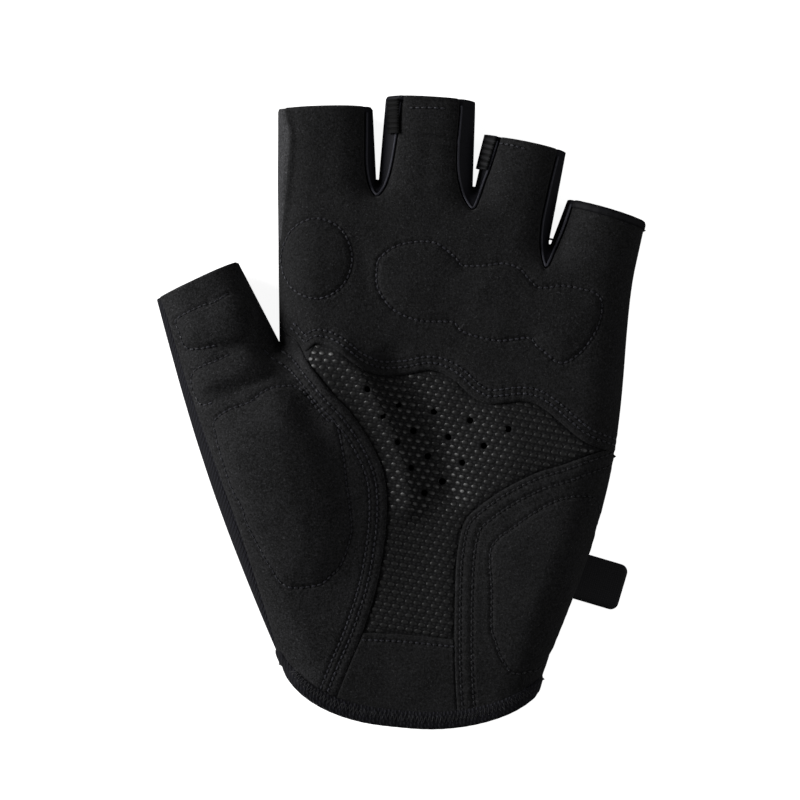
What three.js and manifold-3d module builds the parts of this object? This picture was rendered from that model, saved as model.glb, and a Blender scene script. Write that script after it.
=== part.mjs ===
// Half-finger cycling glove for the left hand, lying palm up with the fingers towards +Y.
import * as THREE from 'three';
import { mergeVertices } from 'three/addons/utils/BufferGeometryUtils.js';
import Module from 'manifold-3d';

const wasm = await Module();
wasm.setup();
const { Manifold, Mesh } = wasm;

// Wrist, palm and knuckles, in millimetres and degrees
const WRIST_WIDTH = 71.6;
const WRIST_TILT = -5.9;
const HEM_SAG = 12.3;
const HEM_FULLNESS = 2.5;
const HEM_SKEW = 0.85;
const PALM_LENGTH = 135.2;
const PALM_LEAN = 0.6;
const WRIST_LEFT = [-32.8, -71.7];
const OUTER_BULGE = 6.2;
const OUTER_ROUNDNESS = 1.5;
const THUMB_BULGE = 2.4;

// Fingers from the index to the little one
const FINGERS = [
  { name: 'index', base: 27.9, step: 0, lean: -1.3, length: 20.6, tip: 26.8 },
  { name: 'middle', base: 27, step: -3, lean: 3.4, length: 23.9, tip: 25.7 },
  { name: 'ring', base: 26.4, step: -36.5, lean: 11.6, length: 20.3, tip: 23.2 },
  { name: 'little', base: 24.9, step: -17.5, lean: 16.5, length: 13.5, tip: 22.9 },
];

// Thumb: where its crotch lies along the palm's left side, and its own sizes
const THUMB = { crotch: 0.671, root: 0.562, lean: -27.4, length: 25.2, tip: 25.1, slant: 2.2 };

// Thickness of the filled-out glove over the surface it lies on
const SIDE_HEIGHT = 8;
const EDGE_ROUND = 12;
const EDGE_FULLNESS = 2.1;
const PROFILE = [
  { along: -0.2, height: 18 },
  { along: 0.1, height: 20 },
  { along: 0.5, height: 21.5 },
  { along: 0.8, height: 20 },
  { along: 1.05, height: 17.5 },
  { along: 1.4, height: 17 },
];
const MOUNDS = [
  { name: 'thumb_ball', across: 0.03, along: 0.4, width: 0.3, length: 0.26, rise: 5 },
  { name: 'outer_ball', across: 0.9, along: 0.3, width: 0.26, length: 0.3, rise: 3.5 },
  { name: 'hollow', across: 0.46, along: 0.48, width: 0.2, length: 0.24, rise: -4 },
  { name: 'thumb_tip', across: -0.27, along: 0.76, width: 0.22, length: 0.14, rise: -2.5 },
];

// Walls, reliefs and the gap left between neighbouring pieces
const GAP = 0.3;
const SUEDE_WALL = 1.6;
const GRIP_SINK = 0.6;
const GRIP_WALL = 1.2;
const SLOT_SINK = 0.3;
const SLOT_WALL = 1.2;
const BACK_WALL = 1.2;
const BINDING_OUTSET = 0.5;
const BINDING_WALL = 2.2;
const BINDING_WIDTH = 5;
const PAD_RISE = 1;
const TAPE_RISE = 0.9;
const VENT_DIAMETER = 1.8;

// Seams of the palm side, as shares of the palm frame from the wrist to the knuckles
const THUMB_SEAM = [
  { across: 0.006, along: 0.69 },
  { across: 0.07, along: 0.66 },
  { across: 0.16, along: 0.596 },
  { across: 0.232, along: 0.555 },
  { across: 0.297, along: 0.503 },
  { across: 0.345, along: 0.444 },
  { across: 0.365, along: 0.375 },
  { across: 0.365, along: 0.294 },
  { across: 0.347, along: 0.195 },
  { across: 0.305, along: 0.095 },
  { across: 0.255, along: 0.016 },
  { across: 0.18, along: -0.1 },
];
const UPPER_SEAM = [
  { across: 0.006, along: 0.69 },
  { across: 0.07, along: 0.664 },
  { across: 0.12, along: 0.683 },
  { across: 0.169, along: 0.678 },
  { across: 0.236, along: 0.653 },
  { across: 0.308, along: 0.644 },
  { across: 0.391, along: 0.656 },
  { across: 0.466, along: 0.676 },
  { across: 0.529, along: 0.669 },
  { across: 0.6, along: 0.638 },
  { across: 0.66, along: 0.631 },
  { across: 0.753, along: 0.651 },
  { across: 0.814, along: 0.644 },
  { across: 0.937, along: 0.595 },
  { across: 1.013, along: 0.581 },
  { across: 1.13, along: 0.575 },
];
const OUTER_SEAM = [
  { across: 0.73, along: -0.13 },
  { across: 0.685, along: -0.03 },
  { across: 0.651, along: 0.074 },
  { across: 0.626, along: 0.189 },
  { across: 0.612, along: 0.29 },
  { across: 0.621, along: 0.364 },
  { across: 0.658, along: 0.402 },
  { across: 0.731, along: 0.452 },
  { across: 0.822, along: 0.5 },
  { across: 0.908, along: 0.53 },
  { across: 0.998, along: 0.552 },
  { across: 1.13, along: 0.572 },
];
const HEEL_SEAM = [
  { across: 0.15, along: 0.09 },
  { across: 0.339, along: 0.101 },
  { across: 0.5, along: 0.107 },
  { across: 0.8, along: 0.111 },
];

// Quilted pads as overlapping lobes, radii in shares of the palm width and length
const PADS = [
  { panel: 'upper', across: 0.115, along: 0.862, width: 0.097, length: 0.082, turn: 0 },
  { panel: 'upper', across: 0.395, along: 0.857, width: 0.102, length: 0.085, turn: 0 },
  { panel: 'upper', across: 0.6, along: 0.848, width: 0.14, length: 0.074, turn: -8 },
  { panel: 'upper', across: 0.81, along: 0.842, width: 0.135, length: 0.083, turn: -20 },
  { panel: 'thumb', across: 0.015, along: 0.45, width: 0.173, length: 0.136, turn: 0 },
  { panel: 'thumb', across: 0.065, along: 0.298, width: 0.137, length: 0.124, turn: 15 },
  { panel: 'thumb', across: -0.176, along: 0.69, width: 0.115, length: 0.044, turn: 14 },
  { panel: 'thumb', across: -0.152, along: 0.585, width: 0.1, length: 0.045, turn: 14 },
  { panel: 'outer', across: 0.87, along: 0.34, width: 0.125, length: 0.13, turn: 12 },
  { panel: 'outer', across: 0.87, along: 0.21, width: 0.1, length: 0.12, turn: 0 },
];

// Vent holes in slanted rows, each row shorter than the last
const VENT_STEP = { across: 0.052, along: -0.0485 };
const VENT_ROWS = [
  { across: 0.275, along: 0.608, holes: 5 },
  { across: 0.379, along: 0.59, holes: 4 },
  { across: 0.487, along: 0.59, holes: 3 },
  { across: 0.601, along: 0.587, holes: 2 },
  { across: 0.72, along: 0.585, holes: 1 },
];

// Stretch inserts between the fingers: widths beside the opening and depth under it
const SLOTS = [
  { name: 'fourchette_index_middle', leftTip: 2.2, leftBase: 2.9, depth: 4.2, rightBase: 3.6, rightTip: 4.9 },
  { name: 'fourchette_middle_ring', leftTip: 4.5, leftBase: 5, depth: 6.7, rightBase: 2.6, rightTip: 3.8 },
  { name: 'fourchette_ring_little', leftTip: 2.8, leftBase: 3.6, depth: 7.5, rightBase: 1.9, rightTip: 1.8 },
];

// Narrow strips along the index finger and down the outside of the thumb
const INDEX_STRIP = { length: PALM_LENGTH * 0.281, width: 3.4, floor: 3 };
const INDEX_RIDGE = [
  { down: -0.1, share: 0.3 },
  { down: 0.09, share: 0.74 },
  { down: 0.2, share: 1 },
  { down: 0.38, share: 0.91 },
  { down: 0.64, share: 0.65 },
  { down: 0.86, share: 0.32 },
  { down: 1, share: 0 },
];
const SIDE_STRIP_WIDTH = 4.2;
const SIDE_STRIP = [
  { down: -0.08, share: 0.4 },
  { down: 0.06, share: 0.52 },
  { down: 0.18, share: 0.6 },
  { down: 0.37, share: 0.86 },
  { down: 0.58, share: 1 },
  { down: 0.7, share: 0.86 },
  { down: 0.82, share: 0.6 },
  { down: 0.91, share: 0.33 },
  { down: 0.97, share: 0 },
];

// Pull tapes on the fingers and the edging of the little finger
const MIDDLE_TAPE = { inset: 2, width: 2.4, length: 10 };
const RING_TAPE = { inset: 0.6, width: 2.7, length: 10 };
const LITTLE_EDGING = { width: 2.4, outset: 0.4, wall: 1.9 };

// Closing strap that runs under the back of the wrist
const STRAP = { length: 74, width: 13.2, thickness: 2, turn: -16.5, corner: 2.2, along: 0.281, out: 13.4 };
const STRAP_ROOM = { lift: 2.4, near: 8, far: 17 };

// Mesh density of the walls
const FINGER_COLUMNS = 7;
const FINGER_ROWS = 2;
const THUMB_ROWS = 3;
const WRIST_ROWS = 4;
const CROTCH_ROWS = 3;
const LOBE_POINTS = 14;
const TALL = 60;

const radians = THREE.MathUtils.degToRad;
const towards = (lean) => [Math.sin(radians(lean)), Math.cos(radians(lean))];
const rightOf = ([x, y]) => [y, -x];
const moved = ([x, y], [dx, dy], distance = 1) => [x + dx * distance, y + dy * distance];
const between = ([ax, ay], [bx, by], share) => [ax + (bx - ax) * share, ay + (by - ay) * share];
const apart = ([ax, ay], [bx, by]) => Math.hypot(bx - ax, by - ay);
const direction = (a, b) => [(b[0] - a[0]) / apart(a, b), (b[1] - a[1]) / apart(a, b)];

// Corner points of the palm and the chain of knuckles
const wristLeft = WRIST_LEFT;
const wristRight = moved(wristLeft, towards(90 - WRIST_TILT), WRIST_WIDTH);
const knuckles = [moved(wristLeft, towards(-PALM_LEAN), PALM_LENGTH)];
for (const finger of FINGERS) {
  knuckles.push(moved(knuckles.at(-1), towards(90 - finger.step), finger.base));
}
const knuckleLeft = knuckles[0];
const knuckleRight = knuckles.at(-1);
const palmWidth = apart(knuckleLeft, knuckleRight);

const palmPoint = (across, along) => between(
  between(wristLeft, wristRight, across),
  between(knuckleLeft, knuckleRight, across),
  along,
);

// Tip corners of every finger
const tips = FINGERS.map((finger, k) => {
  const ahead = towards(finger.lean);
  const centre = moved(between(knuckles[k], knuckles[k + 1], 0.5), ahead, finger.length);
  return {
    ahead,
    left: moved(centre, rightOf(ahead), -finger.tip / 2),
    right: moved(centre, rightOf(ahead), finger.tip / 2),
  };
});

// Thumb corners
const crotch = between(wristLeft, knuckleLeft, THUMB.crotch);
const thumbAhead = towards(THUMB.lean);
const thumbInner = moved(crotch, thumbAhead, THUMB.length);
const thumbOuter = moved(thumbInner, rightOf(towards(THUMB.lean + THUMB.slant)), -THUMB.tip);

const bulged = (from, to, share, bulge, power) => {
  const outward = rightOf(direction(from, to));
  return moved(between(from, to, share), outward, bulge * Math.sin(Math.PI * share) ** power);
};
const leftEdge = (share) => bulged(wristLeft, thumbOuter, share, -THUMB_BULGE, 1);
const rightEdge = (share) => bulged(wristRight, knuckleRight, share, OUTER_BULGE, OUTER_ROUNDNESS);
const hemPoint = (share) => {
  const swing = 1 - Math.abs(2 * share ** HEM_SKEW - 1) ** HEM_FULLNESS;
  return moved(between(wristLeft, wristRight, share), [0, -1], HEM_SAG * swing);
};
const thumbRoot = leftEdge(THUMB.root);

const sampled = (edge, from, to, steps) => {
  const points = [];
  for (let k = 0; k <= steps; k += 1) {
    points.push(edge(from + ((to - from) * k) / steps));
  }
  return points;
};

// Side lines of the flattened glove: the wall turns from palm side to back along them
const REACH = 14;
const sideLines = [
  [...sampled(leftEdge, 0, 1, 24), moved(thumbOuter, thumbAhead, REACH)],
  [moved(thumbInner, thumbAhead, REACH), crotch, knuckleLeft, moved(tips[0].left, tips[0].ahead, REACH)],
  ...tips.slice(1).map((next, k) => [
    moved(tips[k].right, tips[k].ahead, REACH),
    knuckles[k + 1],
    moved(next.left, next.ahead, REACH),
  ]),
  [...sampled(rightEdge, 0, 1, 24), moved(tips[3].right, tips[3].ahead, REACH)],
];

const distanceToLine = (point, line) => {
  let nearest = Infinity;
  for (let k = 1; k < line.length; k += 1) {
    const [ax, ay] = line[k - 1];
    const [bx, by] = line[k];
    const span = (bx - ax) ** 2 + (by - ay) ** 2;
    const dot = (point[0] - ax) * (bx - ax) + (point[1] - ay) * (by - ay);
    const share = Math.min(1, Math.max(0, dot / span));
    nearest = Math.min(nearest, apart(point, between(line[k - 1], line[k], share)));
  }
  return nearest;
};

const fullness = (point) => {
  let share = 1;
  for (const line of sideLines) {
    const inward = Math.min(1, distanceToLine(point, line) / EDGE_ROUND);
    share *= (1 - (1 - inward) ** EDGE_FULLNESS) ** (1 / EDGE_FULLNESS);
  }
  return share;
};

const smooth = (share) => THREE.MathUtils.smoothstep(share, 0, 1);

const profileHeight = (along) => {
  for (let k = 1; k < PROFILE.length; k += 1) {
    const [low, high] = [PROFILE[k - 1], PROFILE[k]];
    if (along <= high.along) {
      const share = (along - low.along) / (high.along - low.along);
      return low.height + (high.height - low.height) * smooth(share);
    }
  }
  return PROFILE.at(-1).height;
};

const crownHeight = (point) => {
  let height = profileHeight((point[1] - wristLeft[1]) / PALM_LENGTH);
  for (const mound of MOUNDS) {
    const centre = palmPoint(mound.across, mound.along);
    const across = (point[0] - centre[0]) / (mound.width * palmWidth);
    const along = (point[1] - centre[1]) / (mound.length * PALM_LENGTH);
    height += mound.rise * Math.exp(-across * across - along * along);
  }
  return height;
};

// The back rises a little where the strap runs under it
const strapAhead = towards(90 - STRAP.turn);
const strapEnd = moved(rightEdge(STRAP.along), strapAhead, STRAP.out);
const strapStart = moved(strapEnd, strapAhead, -STRAP.length);
const strapLift = (point) => {
  const away = distanceToLine(point, [strapStart, strapEnd]) - STRAP.width / 2;
  return STRAP_ROOM.lift * (1 - THREE.MathUtils.smoothstep(away, STRAP_ROOM.near, STRAP_ROOM.far));
};

const palmSide = (point) => SIDE_HEIGHT + (crownHeight(point) - SIDE_HEIGHT) * fullness(point);
const backSide = (point) => {
  const floor = strapLift(point);
  return SIDE_HEIGHT - (SIDE_HEIGHT - floor) * fullness(point);
};

// Points, outward normals and faces of the glove's outer skin
const skin = { points: [], faces: [] };

const addPair = (point, onSide) => {
  if (onSide) {
    skin.points.push([...point, SIDE_HEIGHT]);
    return [skin.points.length - 1, skin.points.length - 1];
  }
  skin.points.push([...point, palmSide(point)], [...point, backSide(point)]);
  return [skin.points.length - 2, skin.points.length - 1];
};

const addFaces = (grid) => {
  for (let row = 1; row < grid.length; row += 1) {
    for (let column = 1; column < grid[row].length; column += 1) {
      const corners = [
        grid[row - 1][column - 1], grid[row - 1][column], grid[row][column], grid[row][column - 1],
      ];
      const [a, b, c, d] = corners.map((pair) => pair[0]);
      skin.faces.push([a, b, c], [a, c, d]);
      const [e, f, g, h] = corners.map((pair) => pair[1]);
      skin.faces.push([e, g, f], [e, h, g]);
    }
  }
};

const rounded = (share) => (1 - Math.cos(Math.PI * share)) / 2;
const softened = (share) => 0.4 * share + 0.6 * rounded(share);

// Palm: rows climb the left side past the thumb, columns fan out to the fingers
const leftStations = [];
for (let k = 0; k <= WRIST_ROWS; k += 1) {
  leftStations.push(leftEdge((THUMB.root * k) / WRIST_ROWS));
}
const rootRow = WRIST_ROWS;
for (let k = 1; k <= FINGER_COLUMNS; k += 1) {
  leftStations.push(between(thumbRoot, crotch, rounded(k / FINGER_COLUMNS)));
}
const crotchRow = WRIST_ROWS + FINGER_COLUMNS;
for (let k = 1; k <= CROTCH_ROWS; k += 1) {
  leftStations.push(between(crotch, knuckleLeft, k / CROTCH_ROWS));
}
const lastRow = leftStations.length - 1;
const lastColumn = FINGERS.length * FINGER_COLUMNS;

const knuckleShares = [];
for (let column = 0; column <= lastColumn; column += 1) {
  const finger = Math.min(FINGERS.length - 1, Math.floor(column / FINGER_COLUMNS));
  const share = rounded(column / FINGER_COLUMNS - finger);
  knuckleShares.push(between(knuckles[finger], knuckles[finger + 1], share));
}

const palmGrid = leftStations.map((left, row) => {
  const along = (left[1] - wristLeft[1]) / (knuckleLeft[1] - wristLeft[1]);
  const right = rightEdge(along);
  return knuckleShares.map((knuckle, column) => {
    const atHem = softened(column / lastColumn);
    const atKnuckle = (knuckle[0] - knuckleLeft[0]) / (knuckleRight[0] - knuckleLeft[0]);
    const across = atHem + (atKnuckle - atHem) * along;
    const hemDrop = hemPoint(atHem)[1] - between(wristLeft, wristRight, atHem)[1];
    const knuckleRise = knuckle[1] - between(knuckleLeft, knuckleRight, atKnuckle)[1];
    const point = between(left, right, across);
    point[1] += hemDrop * (1 - along) + knuckleRise * along;
    const onLeft = column === 0 && (row <= rootRow || row >= crotchRow);
    const onSlot = row === lastRow && column % FINGER_COLUMNS === 0;
    return addPair(point, onLeft || onSlot || column === lastColumn);
  });
});
addFaces(palmGrid);

// Fingers grow from the knuckle row
for (const [k, tip] of tips.entries()) {
  const first = k * FINGER_COLUMNS;
  const grid = [palmGrid[lastRow].slice(first, first + FINGER_COLUMNS + 1)];
  for (let row = 1; row <= FINGER_ROWS; row += 1) {
    const pairs = [];
    for (let column = 0; column <= FINGER_COLUMNS; column += 1) {
      const base = knuckleShares[first + column];
      const end = between(tip.left, tip.right, rounded(column / FINGER_COLUMNS));
      const onSide = column === 0 || column === FINGER_COLUMNS;
      pairs.push(addPair(between(base, end, row / FINGER_ROWS), onSide));
    }
    grid.push(pairs);
  }
  addFaces(grid);
}

// Thumb grows from the left side between its root and its crotch
const thumbGrid = [palmGrid.slice(rootRow, crotchRow + 1).map((row) => row[0])];
for (let row = 1; row <= THUMB_ROWS; row += 1) {
  const out = row / THUMB_ROWS;
  const outer = leftEdge(THUMB.root + (1 - THUMB.root) * out);
  const inner = between(crotch, thumbInner, out);
  const pairs = [];
  for (let column = 0; column <= FINGER_COLUMNS; column += 1) {
    const onSide = column === 0 || column === FINGER_COLUMNS;
    pairs.push(addPair(between(outer, inner, rounded(column / FINGER_COLUMNS)), onSide));
  }
  thumbGrid.push(pairs);
}
addFaces(thumbGrid);

const geometryOf = (points, faces) => {
  const geometry = new THREE.BufferGeometry();
  geometry.setAttribute('position', new THREE.Float32BufferAttribute(points.flat(), 3));
  geometry.setIndex(faces.flat());
  return geometry;
};
const skinGeometry = geometryOf(skin.points, skin.faces);
skinGeometry.computeVertexNormals();
const normals = skinGeometry.getAttribute('normal');

const openEdges = [];
const seen = new Set();
for (const [a, b, c] of skin.faces) {
  for (const [from, to] of [[a, b], [b, c], [c, a]]) {
    seen.add(`${from}_${to}`);
  }
}
for (const edge of seen) {
  const [from, to] = edge.split('_').map(Number);
  if (!seen.has(`${to}_${from}`)) {
    openEdges.push([from, to]);
  }
}

const solidOf = (geometry) => {
  const bare = new THREE.BufferGeometry();
  bare.setAttribute('position', geometry.getAttribute('position'));
  bare.setIndex(geometry.getIndex());
  const merged = mergeVertices(bare, 1e-4);
  const mesh = new Mesh({
    numProp: 3,
    vertProperties: new Float32Array(merged.getAttribute('position').array),
    triVerts: new Uint32Array(merged.getIndex().array),
  });
  mesh.merge();
  return new Manifold(mesh);
};

// A hollow skin: outer face moved out by `outset`, inner face `wall` below it, flat where it rests
const hollowSkin = (outset, wall) => {
  const count = skin.points.length;
  const shifted = (distance) => skin.points.map(([x, y, z], k) => [
    x + normals.getX(k) * distance,
    y + normals.getY(k) * distance,
    Math.max(0, z + normals.getZ(k) * distance),
  ]);
  const faces = [...skin.faces];
  for (const [a, b, c] of skin.faces) {
    faces.push([a + count, c + count, b + count]);
  }
  for (const [from, to] of openEdges) {
    faces.push([to, from, from + count], [to, from + count, to + count]);
  }
  return solidOf(geometryOf([...shifted(outset), ...shifted(outset - wall)], faces));
};

// Upright prism over a closed plan outline
const prism = (loop, low = -TALL, high = TALL) => {
  const shape = new THREE.Shape(loop.map(([x, y]) => new THREE.Vector2(x, y)));
  const geometry = new THREE.ExtrudeGeometry(shape, { depth: high - low, bevelEnabled: false });
  return solidOf(geometry.translate(0, 0, low));
};

const grown = (loop, distance) => {
  const turn = THREE.ShapeUtils.isClockWise(loop.map(([x, y]) => new THREE.Vector2(x, y))) ? -1 : 1;
  return loop.map((point, k) => {
    const before = rightOf(direction(loop.at(k - 1), point));
    const after = rightOf(direction(point, loop[(k + 1) % loop.length]));
    const sum = [before[0] + after[0], before[1] + after[1]];
    const scale = 2 / Math.max(0.5, sum[0] ** 2 + sum[1] ** 2);
    return moved(point, sum, turn * distance * scale);
  });
};

const curveThrough = (points, steps) => {
  const curve = new THREE.SplineCurve(points.map(([x, y]) => new THREE.Vector2(x, y)));
  return curve.getPoints(steps).map((point) => [point.x, point.y]);
};
const seamLine = (rows, steps) => curveThrough(
  rows.map((row) => palmPoint(row.across, row.along)),
  steps,
);

// Plan regions of the palm side
const FAR = 120;
const valley = moved(crotch, towards(THUMB.lean / 2), FAR);
const thumbSeam = seamLine(THUMB_SEAM, 18);
const upperSeam = seamLine(UPPER_SEAM, 26);
const outerSeam = seamLine(OUTER_SEAM, 18);
const heelSeam = seamLine(HEEL_SEAM, 9);
const thumbLoop = [...thumbSeam, [-FAR, -FAR], [-FAR, valley[1]], valley];
const upperLoop = [...upperSeam, [FAR, valley[1]], valley];
const outerLoop = [...outerSeam, [FAR, 0], [FAR, -FAR], [0, -FAR]];
const heelLoop = [...heelSeam, [FAR, -FAR], [-FAR, -FAR]];
const bindingLoop = [
  [-FAR, wristLeft[1] + BINDING_WIDTH],
  ...sampled(hemPoint, 0, 1, 16).map((point) => moved(point, [0, 1], BINDING_WIDTH)),
  [FAR, wristRight[1] + BINDING_WIDTH],
  [FAR, -FAR],
  [-FAR, -FAR],
];

// Regions around the slots between the fingers
const slotLoops = SLOTS.map((slot, k) => {
  const [left, right] = [tips[k], tips[k + 1]];
  const base = knuckles[k + 1];
  const [leftSide, rightSide] = [rightOf(left.ahead), rightOf(right.ahead)];
  const down = direction(between(left.right, right.left, 0.5), base);
  const line = curveThrough([
    moved(moved(left.right, leftSide, -slot.leftTip), left.ahead, REACH),
    moved(left.right, leftSide, -slot.leftTip),
    moved(between(base, left.right, 0.15), leftSide, -slot.leftBase),
    moved(base, down, slot.depth),
    moved(between(base, right.left, 0.15), rightSide, slot.rightBase),
    moved(right.left, rightSide, slot.rightTip),
    moved(moved(right.left, rightSide, slot.rightTip), right.ahead, REACH),
  ], 20);
  return line;
});

// Narrow side strips
const stripLoop = (rows, along, outward, width) => {
  const inner = curveThrough(
    rows.map((row) => moved(along(row.down), outward, -width * row.share)),
    16,
  );
  return [...inner, moved(inner.at(-1), outward, REACH), moved(inner[0], outward, REACH)];
};
const indexSide = (down) => {
  const from = tips[0].left;
  const reach = down * INDEX_STRIP.length;
  const finger = apart(from, knuckleLeft);
  return reach < finger
    ? moved(from, direction(from, knuckleLeft), reach)
    : moved(knuckleLeft, direction(knuckleLeft, crotch), reach - finger);
};
const indexStripLoop = stripLoop(INDEX_RIDGE, indexSide, [-1, 0], INDEX_STRIP.width);
const sideStripLoop = stripLoop(
  SIDE_STRIP,
  (down) => (down < 0 ? moved(thumbOuter, thumbAhead, REACH / 2) : leftEdge(1 - down)),
  rightOf(direction(thumbOuter, wristLeft)),
  SIDE_STRIP_WIDTH,
);

// Small bands that lie on the finger ends
const tapeLoop = (corner, ahead, inset, tape) => {
  const side = rightOf(ahead);
  const start = moved(corner, side, inset);
  return [
    moved(start, ahead, -tape.length),
    moved(moved(start, side, tape.width), ahead, -tape.length),
    moved(moved(start, side, tape.width), ahead, -GAP),
    moved(start, ahead, -GAP),
  ];
};
const edgingLoop = (tip, width) => {
  const side = rightOf(tip.ahead);
  const [left, right] = [moved(tip.left, side, -GAP * 5), moved(tip.right, side, REACH)];
  return [
    moved(left, tip.ahead, -width),
    moved(right, tip.ahead, -width),
    moved(right, tip.ahead, REACH),
    moved(left, tip.ahead, REACH),
  ];
};

// Cutters
const palmHalf = SIDE_HEIGHT + GAP / 2;
const backHalf = SIDE_HEIGHT - GAP / 2;
const over = (loop) => prism(loop, palmHalf, TALL);
const bindingCut = prism(grown(bindingLoop, GAP));
const slotCuts = slotLoops.map((loop) => prism(grown(loop, GAP)));
const indexStripCut = prism(grown(indexStripLoop, GAP), INDEX_STRIP.floor - GAP, TALL);
const sideStripCut = prism(grown(sideStripLoop, GAP), -TALL, TALL);
const edgingCut = prism(grown(edgingLoop(tips[3], LITTLE_EDGING.width), GAP));
const common = [bindingCut, indexStripCut, sideStripCut, edgingCut, ...slotCuts];
const without = (solid, cutters) => cutters.reduce((rest, cutter) => rest.subtract(cutter), solid);

const padLoop = (pad) => {
  const centre = palmPoint(pad.across, pad.along);
  const loop = [];
  for (let k = 0; k < LOBE_POINTS; k += 1) {
    const angle = (k / LOBE_POINTS) * Math.PI * 2;
    const arm = [
      Math.cos(angle) * pad.width * palmWidth,
      Math.sin(angle) * pad.length * PALM_LENGTH,
    ];
    const [cos, sin] = [Math.cos(radians(pad.turn)), Math.sin(radians(pad.turn))];
    loop.push(moved(centre, [arm[0] * cos - arm[1] * sin, arm[0] * sin + arm[1] * cos]));
  }
  return loop;
};

const suede = hollowSkin(0, SUEDE_WALL);
const padded = hollowSkin(PAD_RISE, SUEDE_WALL + PAD_RISE);
const withPads = (panel) => {
  const lobes = PADS.filter((pad) => pad.panel === panel).map((pad) => over(padLoop(pad)));
  const quilt = lobes.reduce((all, lobe) => all.add(lobe));
  return suede.add(padded.intersect(quilt));
};

const group = new THREE.Group();
group.name = 'cycling_glove';

const addPiece = (name, geometry, color, roughness) => {
  const material = new THREE.MeshStandardMaterial({ color, roughness });
  const mesh = new THREE.Mesh(geometry, material);
  mesh.name = name;
  group.add(mesh);
};

const bareGeometry = (solid) => {
  const mesh = solid.getMesh();
  const geometry = new THREE.BufferGeometry();
  geometry.setAttribute('position', new THREE.Float32BufferAttribute(mesh.vertProperties, 3));
  geometry.setIndex([...mesh.triVerts]);
  return geometry;
};

const addCloth = (name, solid, color, roughness = 0.9) => {
  const geometry = bareGeometry(solid);
  geometry.computeVertexNormals();
  addPiece(name, geometry, color, roughness);
};

const SUEDE = 0x1b1b1c;
const GRIP = 0x2a2a2b;
const KNIT = 0x222327;
const STRETCH = 0x0e0e10;
const TAPE = 0x3a3a3e;

// Palm side
addCloth('thumb_panel', without(withPads('thumb').intersect(over(thumbLoop)), common), SUEDE);
const thumbCut = prism(grown(thumbLoop, GAP));
const upperCut = prism(grown(upperLoop, GAP));
addCloth(
  'palm_upper_panel',
  without(withPads('upper').intersect(over(upperLoop)), [...common, thumbCut]),
  SUEDE,
);
const outerCut = prism(grown(outerLoop, GAP));
const heelCut = prism(grown(heelLoop, GAP));
addCloth(
  'outer_palm_panel',
  without(withPads('outer').intersect(over(outerLoop)), [...common, upperCut]),
  SUEDE,
);
const vents = [];
for (const row of VENT_ROWS) {
  for (let hole = 0; hole < row.holes; hole += 1) {
    const centre = palmPoint(
      row.across + VENT_STEP.across * hole,
      row.along + VENT_STEP.along * hole,
    );
    const cylinder = new THREE.CylinderGeometry(VENT_DIAMETER / 2, VENT_DIAMETER / 2, TALL, 8);
    cylinder.rotateX(Math.PI / 2);
    vents.push(solidOf(cylinder.translate(centre[0], centre[1], TALL / 2 + SIDE_HEIGHT)));
  }
}
const everywhere = [[-FAR, -FAR], [FAR, -FAR], [FAR, FAR], [-FAR, FAR]];
const middleCuts = [...common, upperCut, thumbCut, outerCut];
addCloth(
  'heel_panel',
  without(suede.intersect(over(heelLoop)), middleCuts),
  SUEDE,
);
const gripSkin = hollowSkin(-GRIP_SINK, GRIP_WALL);
addCloth(
  'grip_panel',
  without(gripSkin.intersect(over(everywhere)), [...middleCuts, heelCut, ...vents]),
  GRIP,
  0.5,
);

// Sides, openings and back
const slotSkin = hollowSkin(-SLOT_SINK, SLOT_WALL);
SLOTS.forEach((slot, k) => {
  addCloth(slot.name, without(slotSkin.intersect(prism(slotLoops[k])), [edgingCut]), STRETCH, 0.6);
});
addCloth(
  'index_side_strip',
  suede.intersect(prism(indexStripLoop, INDEX_STRIP.floor, TALL)),
  TAPE,
);
const backSkin = hollowSkin(0, BACK_WALL);
const backCuts = [bindingCut, indexStripCut, edgingCut, ...slotCuts];
const sideStrip = backSkin.intersect(prism(sideStripLoop, 0, TALL));
const backHalfSkin = backSkin.intersect(prism(everywhere, -TALL, backHalf));
addCloth('back_panel', without(backHalfSkin.add(sideStrip), backCuts), KNIT);
addCloth(
  'wrist_binding',
  hollowSkin(BINDING_OUTSET, BINDING_WALL).intersect(prism(bindingLoop)),
  KNIT,
);
addCloth(
  'little_hem_tape',
  hollowSkin(LITTLE_EDGING.outset, LITTLE_EDGING.wall)
    .intersect(prism(edgingLoop(tips[3], LITTLE_EDGING.width))),
  STRETCH,
);

// Pull tapes on the middle and ring fingers
const tapeSkin = hollowSkin(TAPE_RISE, TAPE_RISE);
addCloth(
  'middle_pull_tape',
  tapeSkin.intersect(prism(tapeLoop(tips[1].left, tips[1].ahead, MIDDLE_TAPE.inset, MIDDLE_TAPE), palmHalf)),
  TAPE,
);
addCloth(
  'ring_pull_tape',
  tapeSkin.intersect(prism(tapeLoop(tips[2].left, tips[2].ahead, RING_TAPE.inset, RING_TAPE), palmHalf)),
  TAPE,
);

// Strap with rounded free end
const strapShape = new THREE.Shape();
const half = STRAP.width / 2;
strapShape.moveTo(-STRAP.length, -half);
strapShape.lineTo(-STRAP.corner, -half);
strapShape.absarc(-STRAP.corner, -half + STRAP.corner, STRAP.corner, -Math.PI / 2, 0, false);
strapShape.lineTo(0, half - STRAP.corner);
strapShape.absarc(-STRAP.corner, half - STRAP.corner, STRAP.corner, 0, Math.PI / 2, false);
strapShape.lineTo(-STRAP.length, half);
const strapGeometry = new THREE.ExtrudeGeometry(strapShape, {
  depth: STRAP.thickness,
  bevelEnabled: false,
  curveSegments: 5,
});
strapGeometry.rotateZ(radians(STRAP.turn));
strapGeometry.translate(strapEnd[0], strapEnd[1], 0);
addPiece('wrist_strap', strapGeometry, STRETCH, 0.7);

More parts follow.
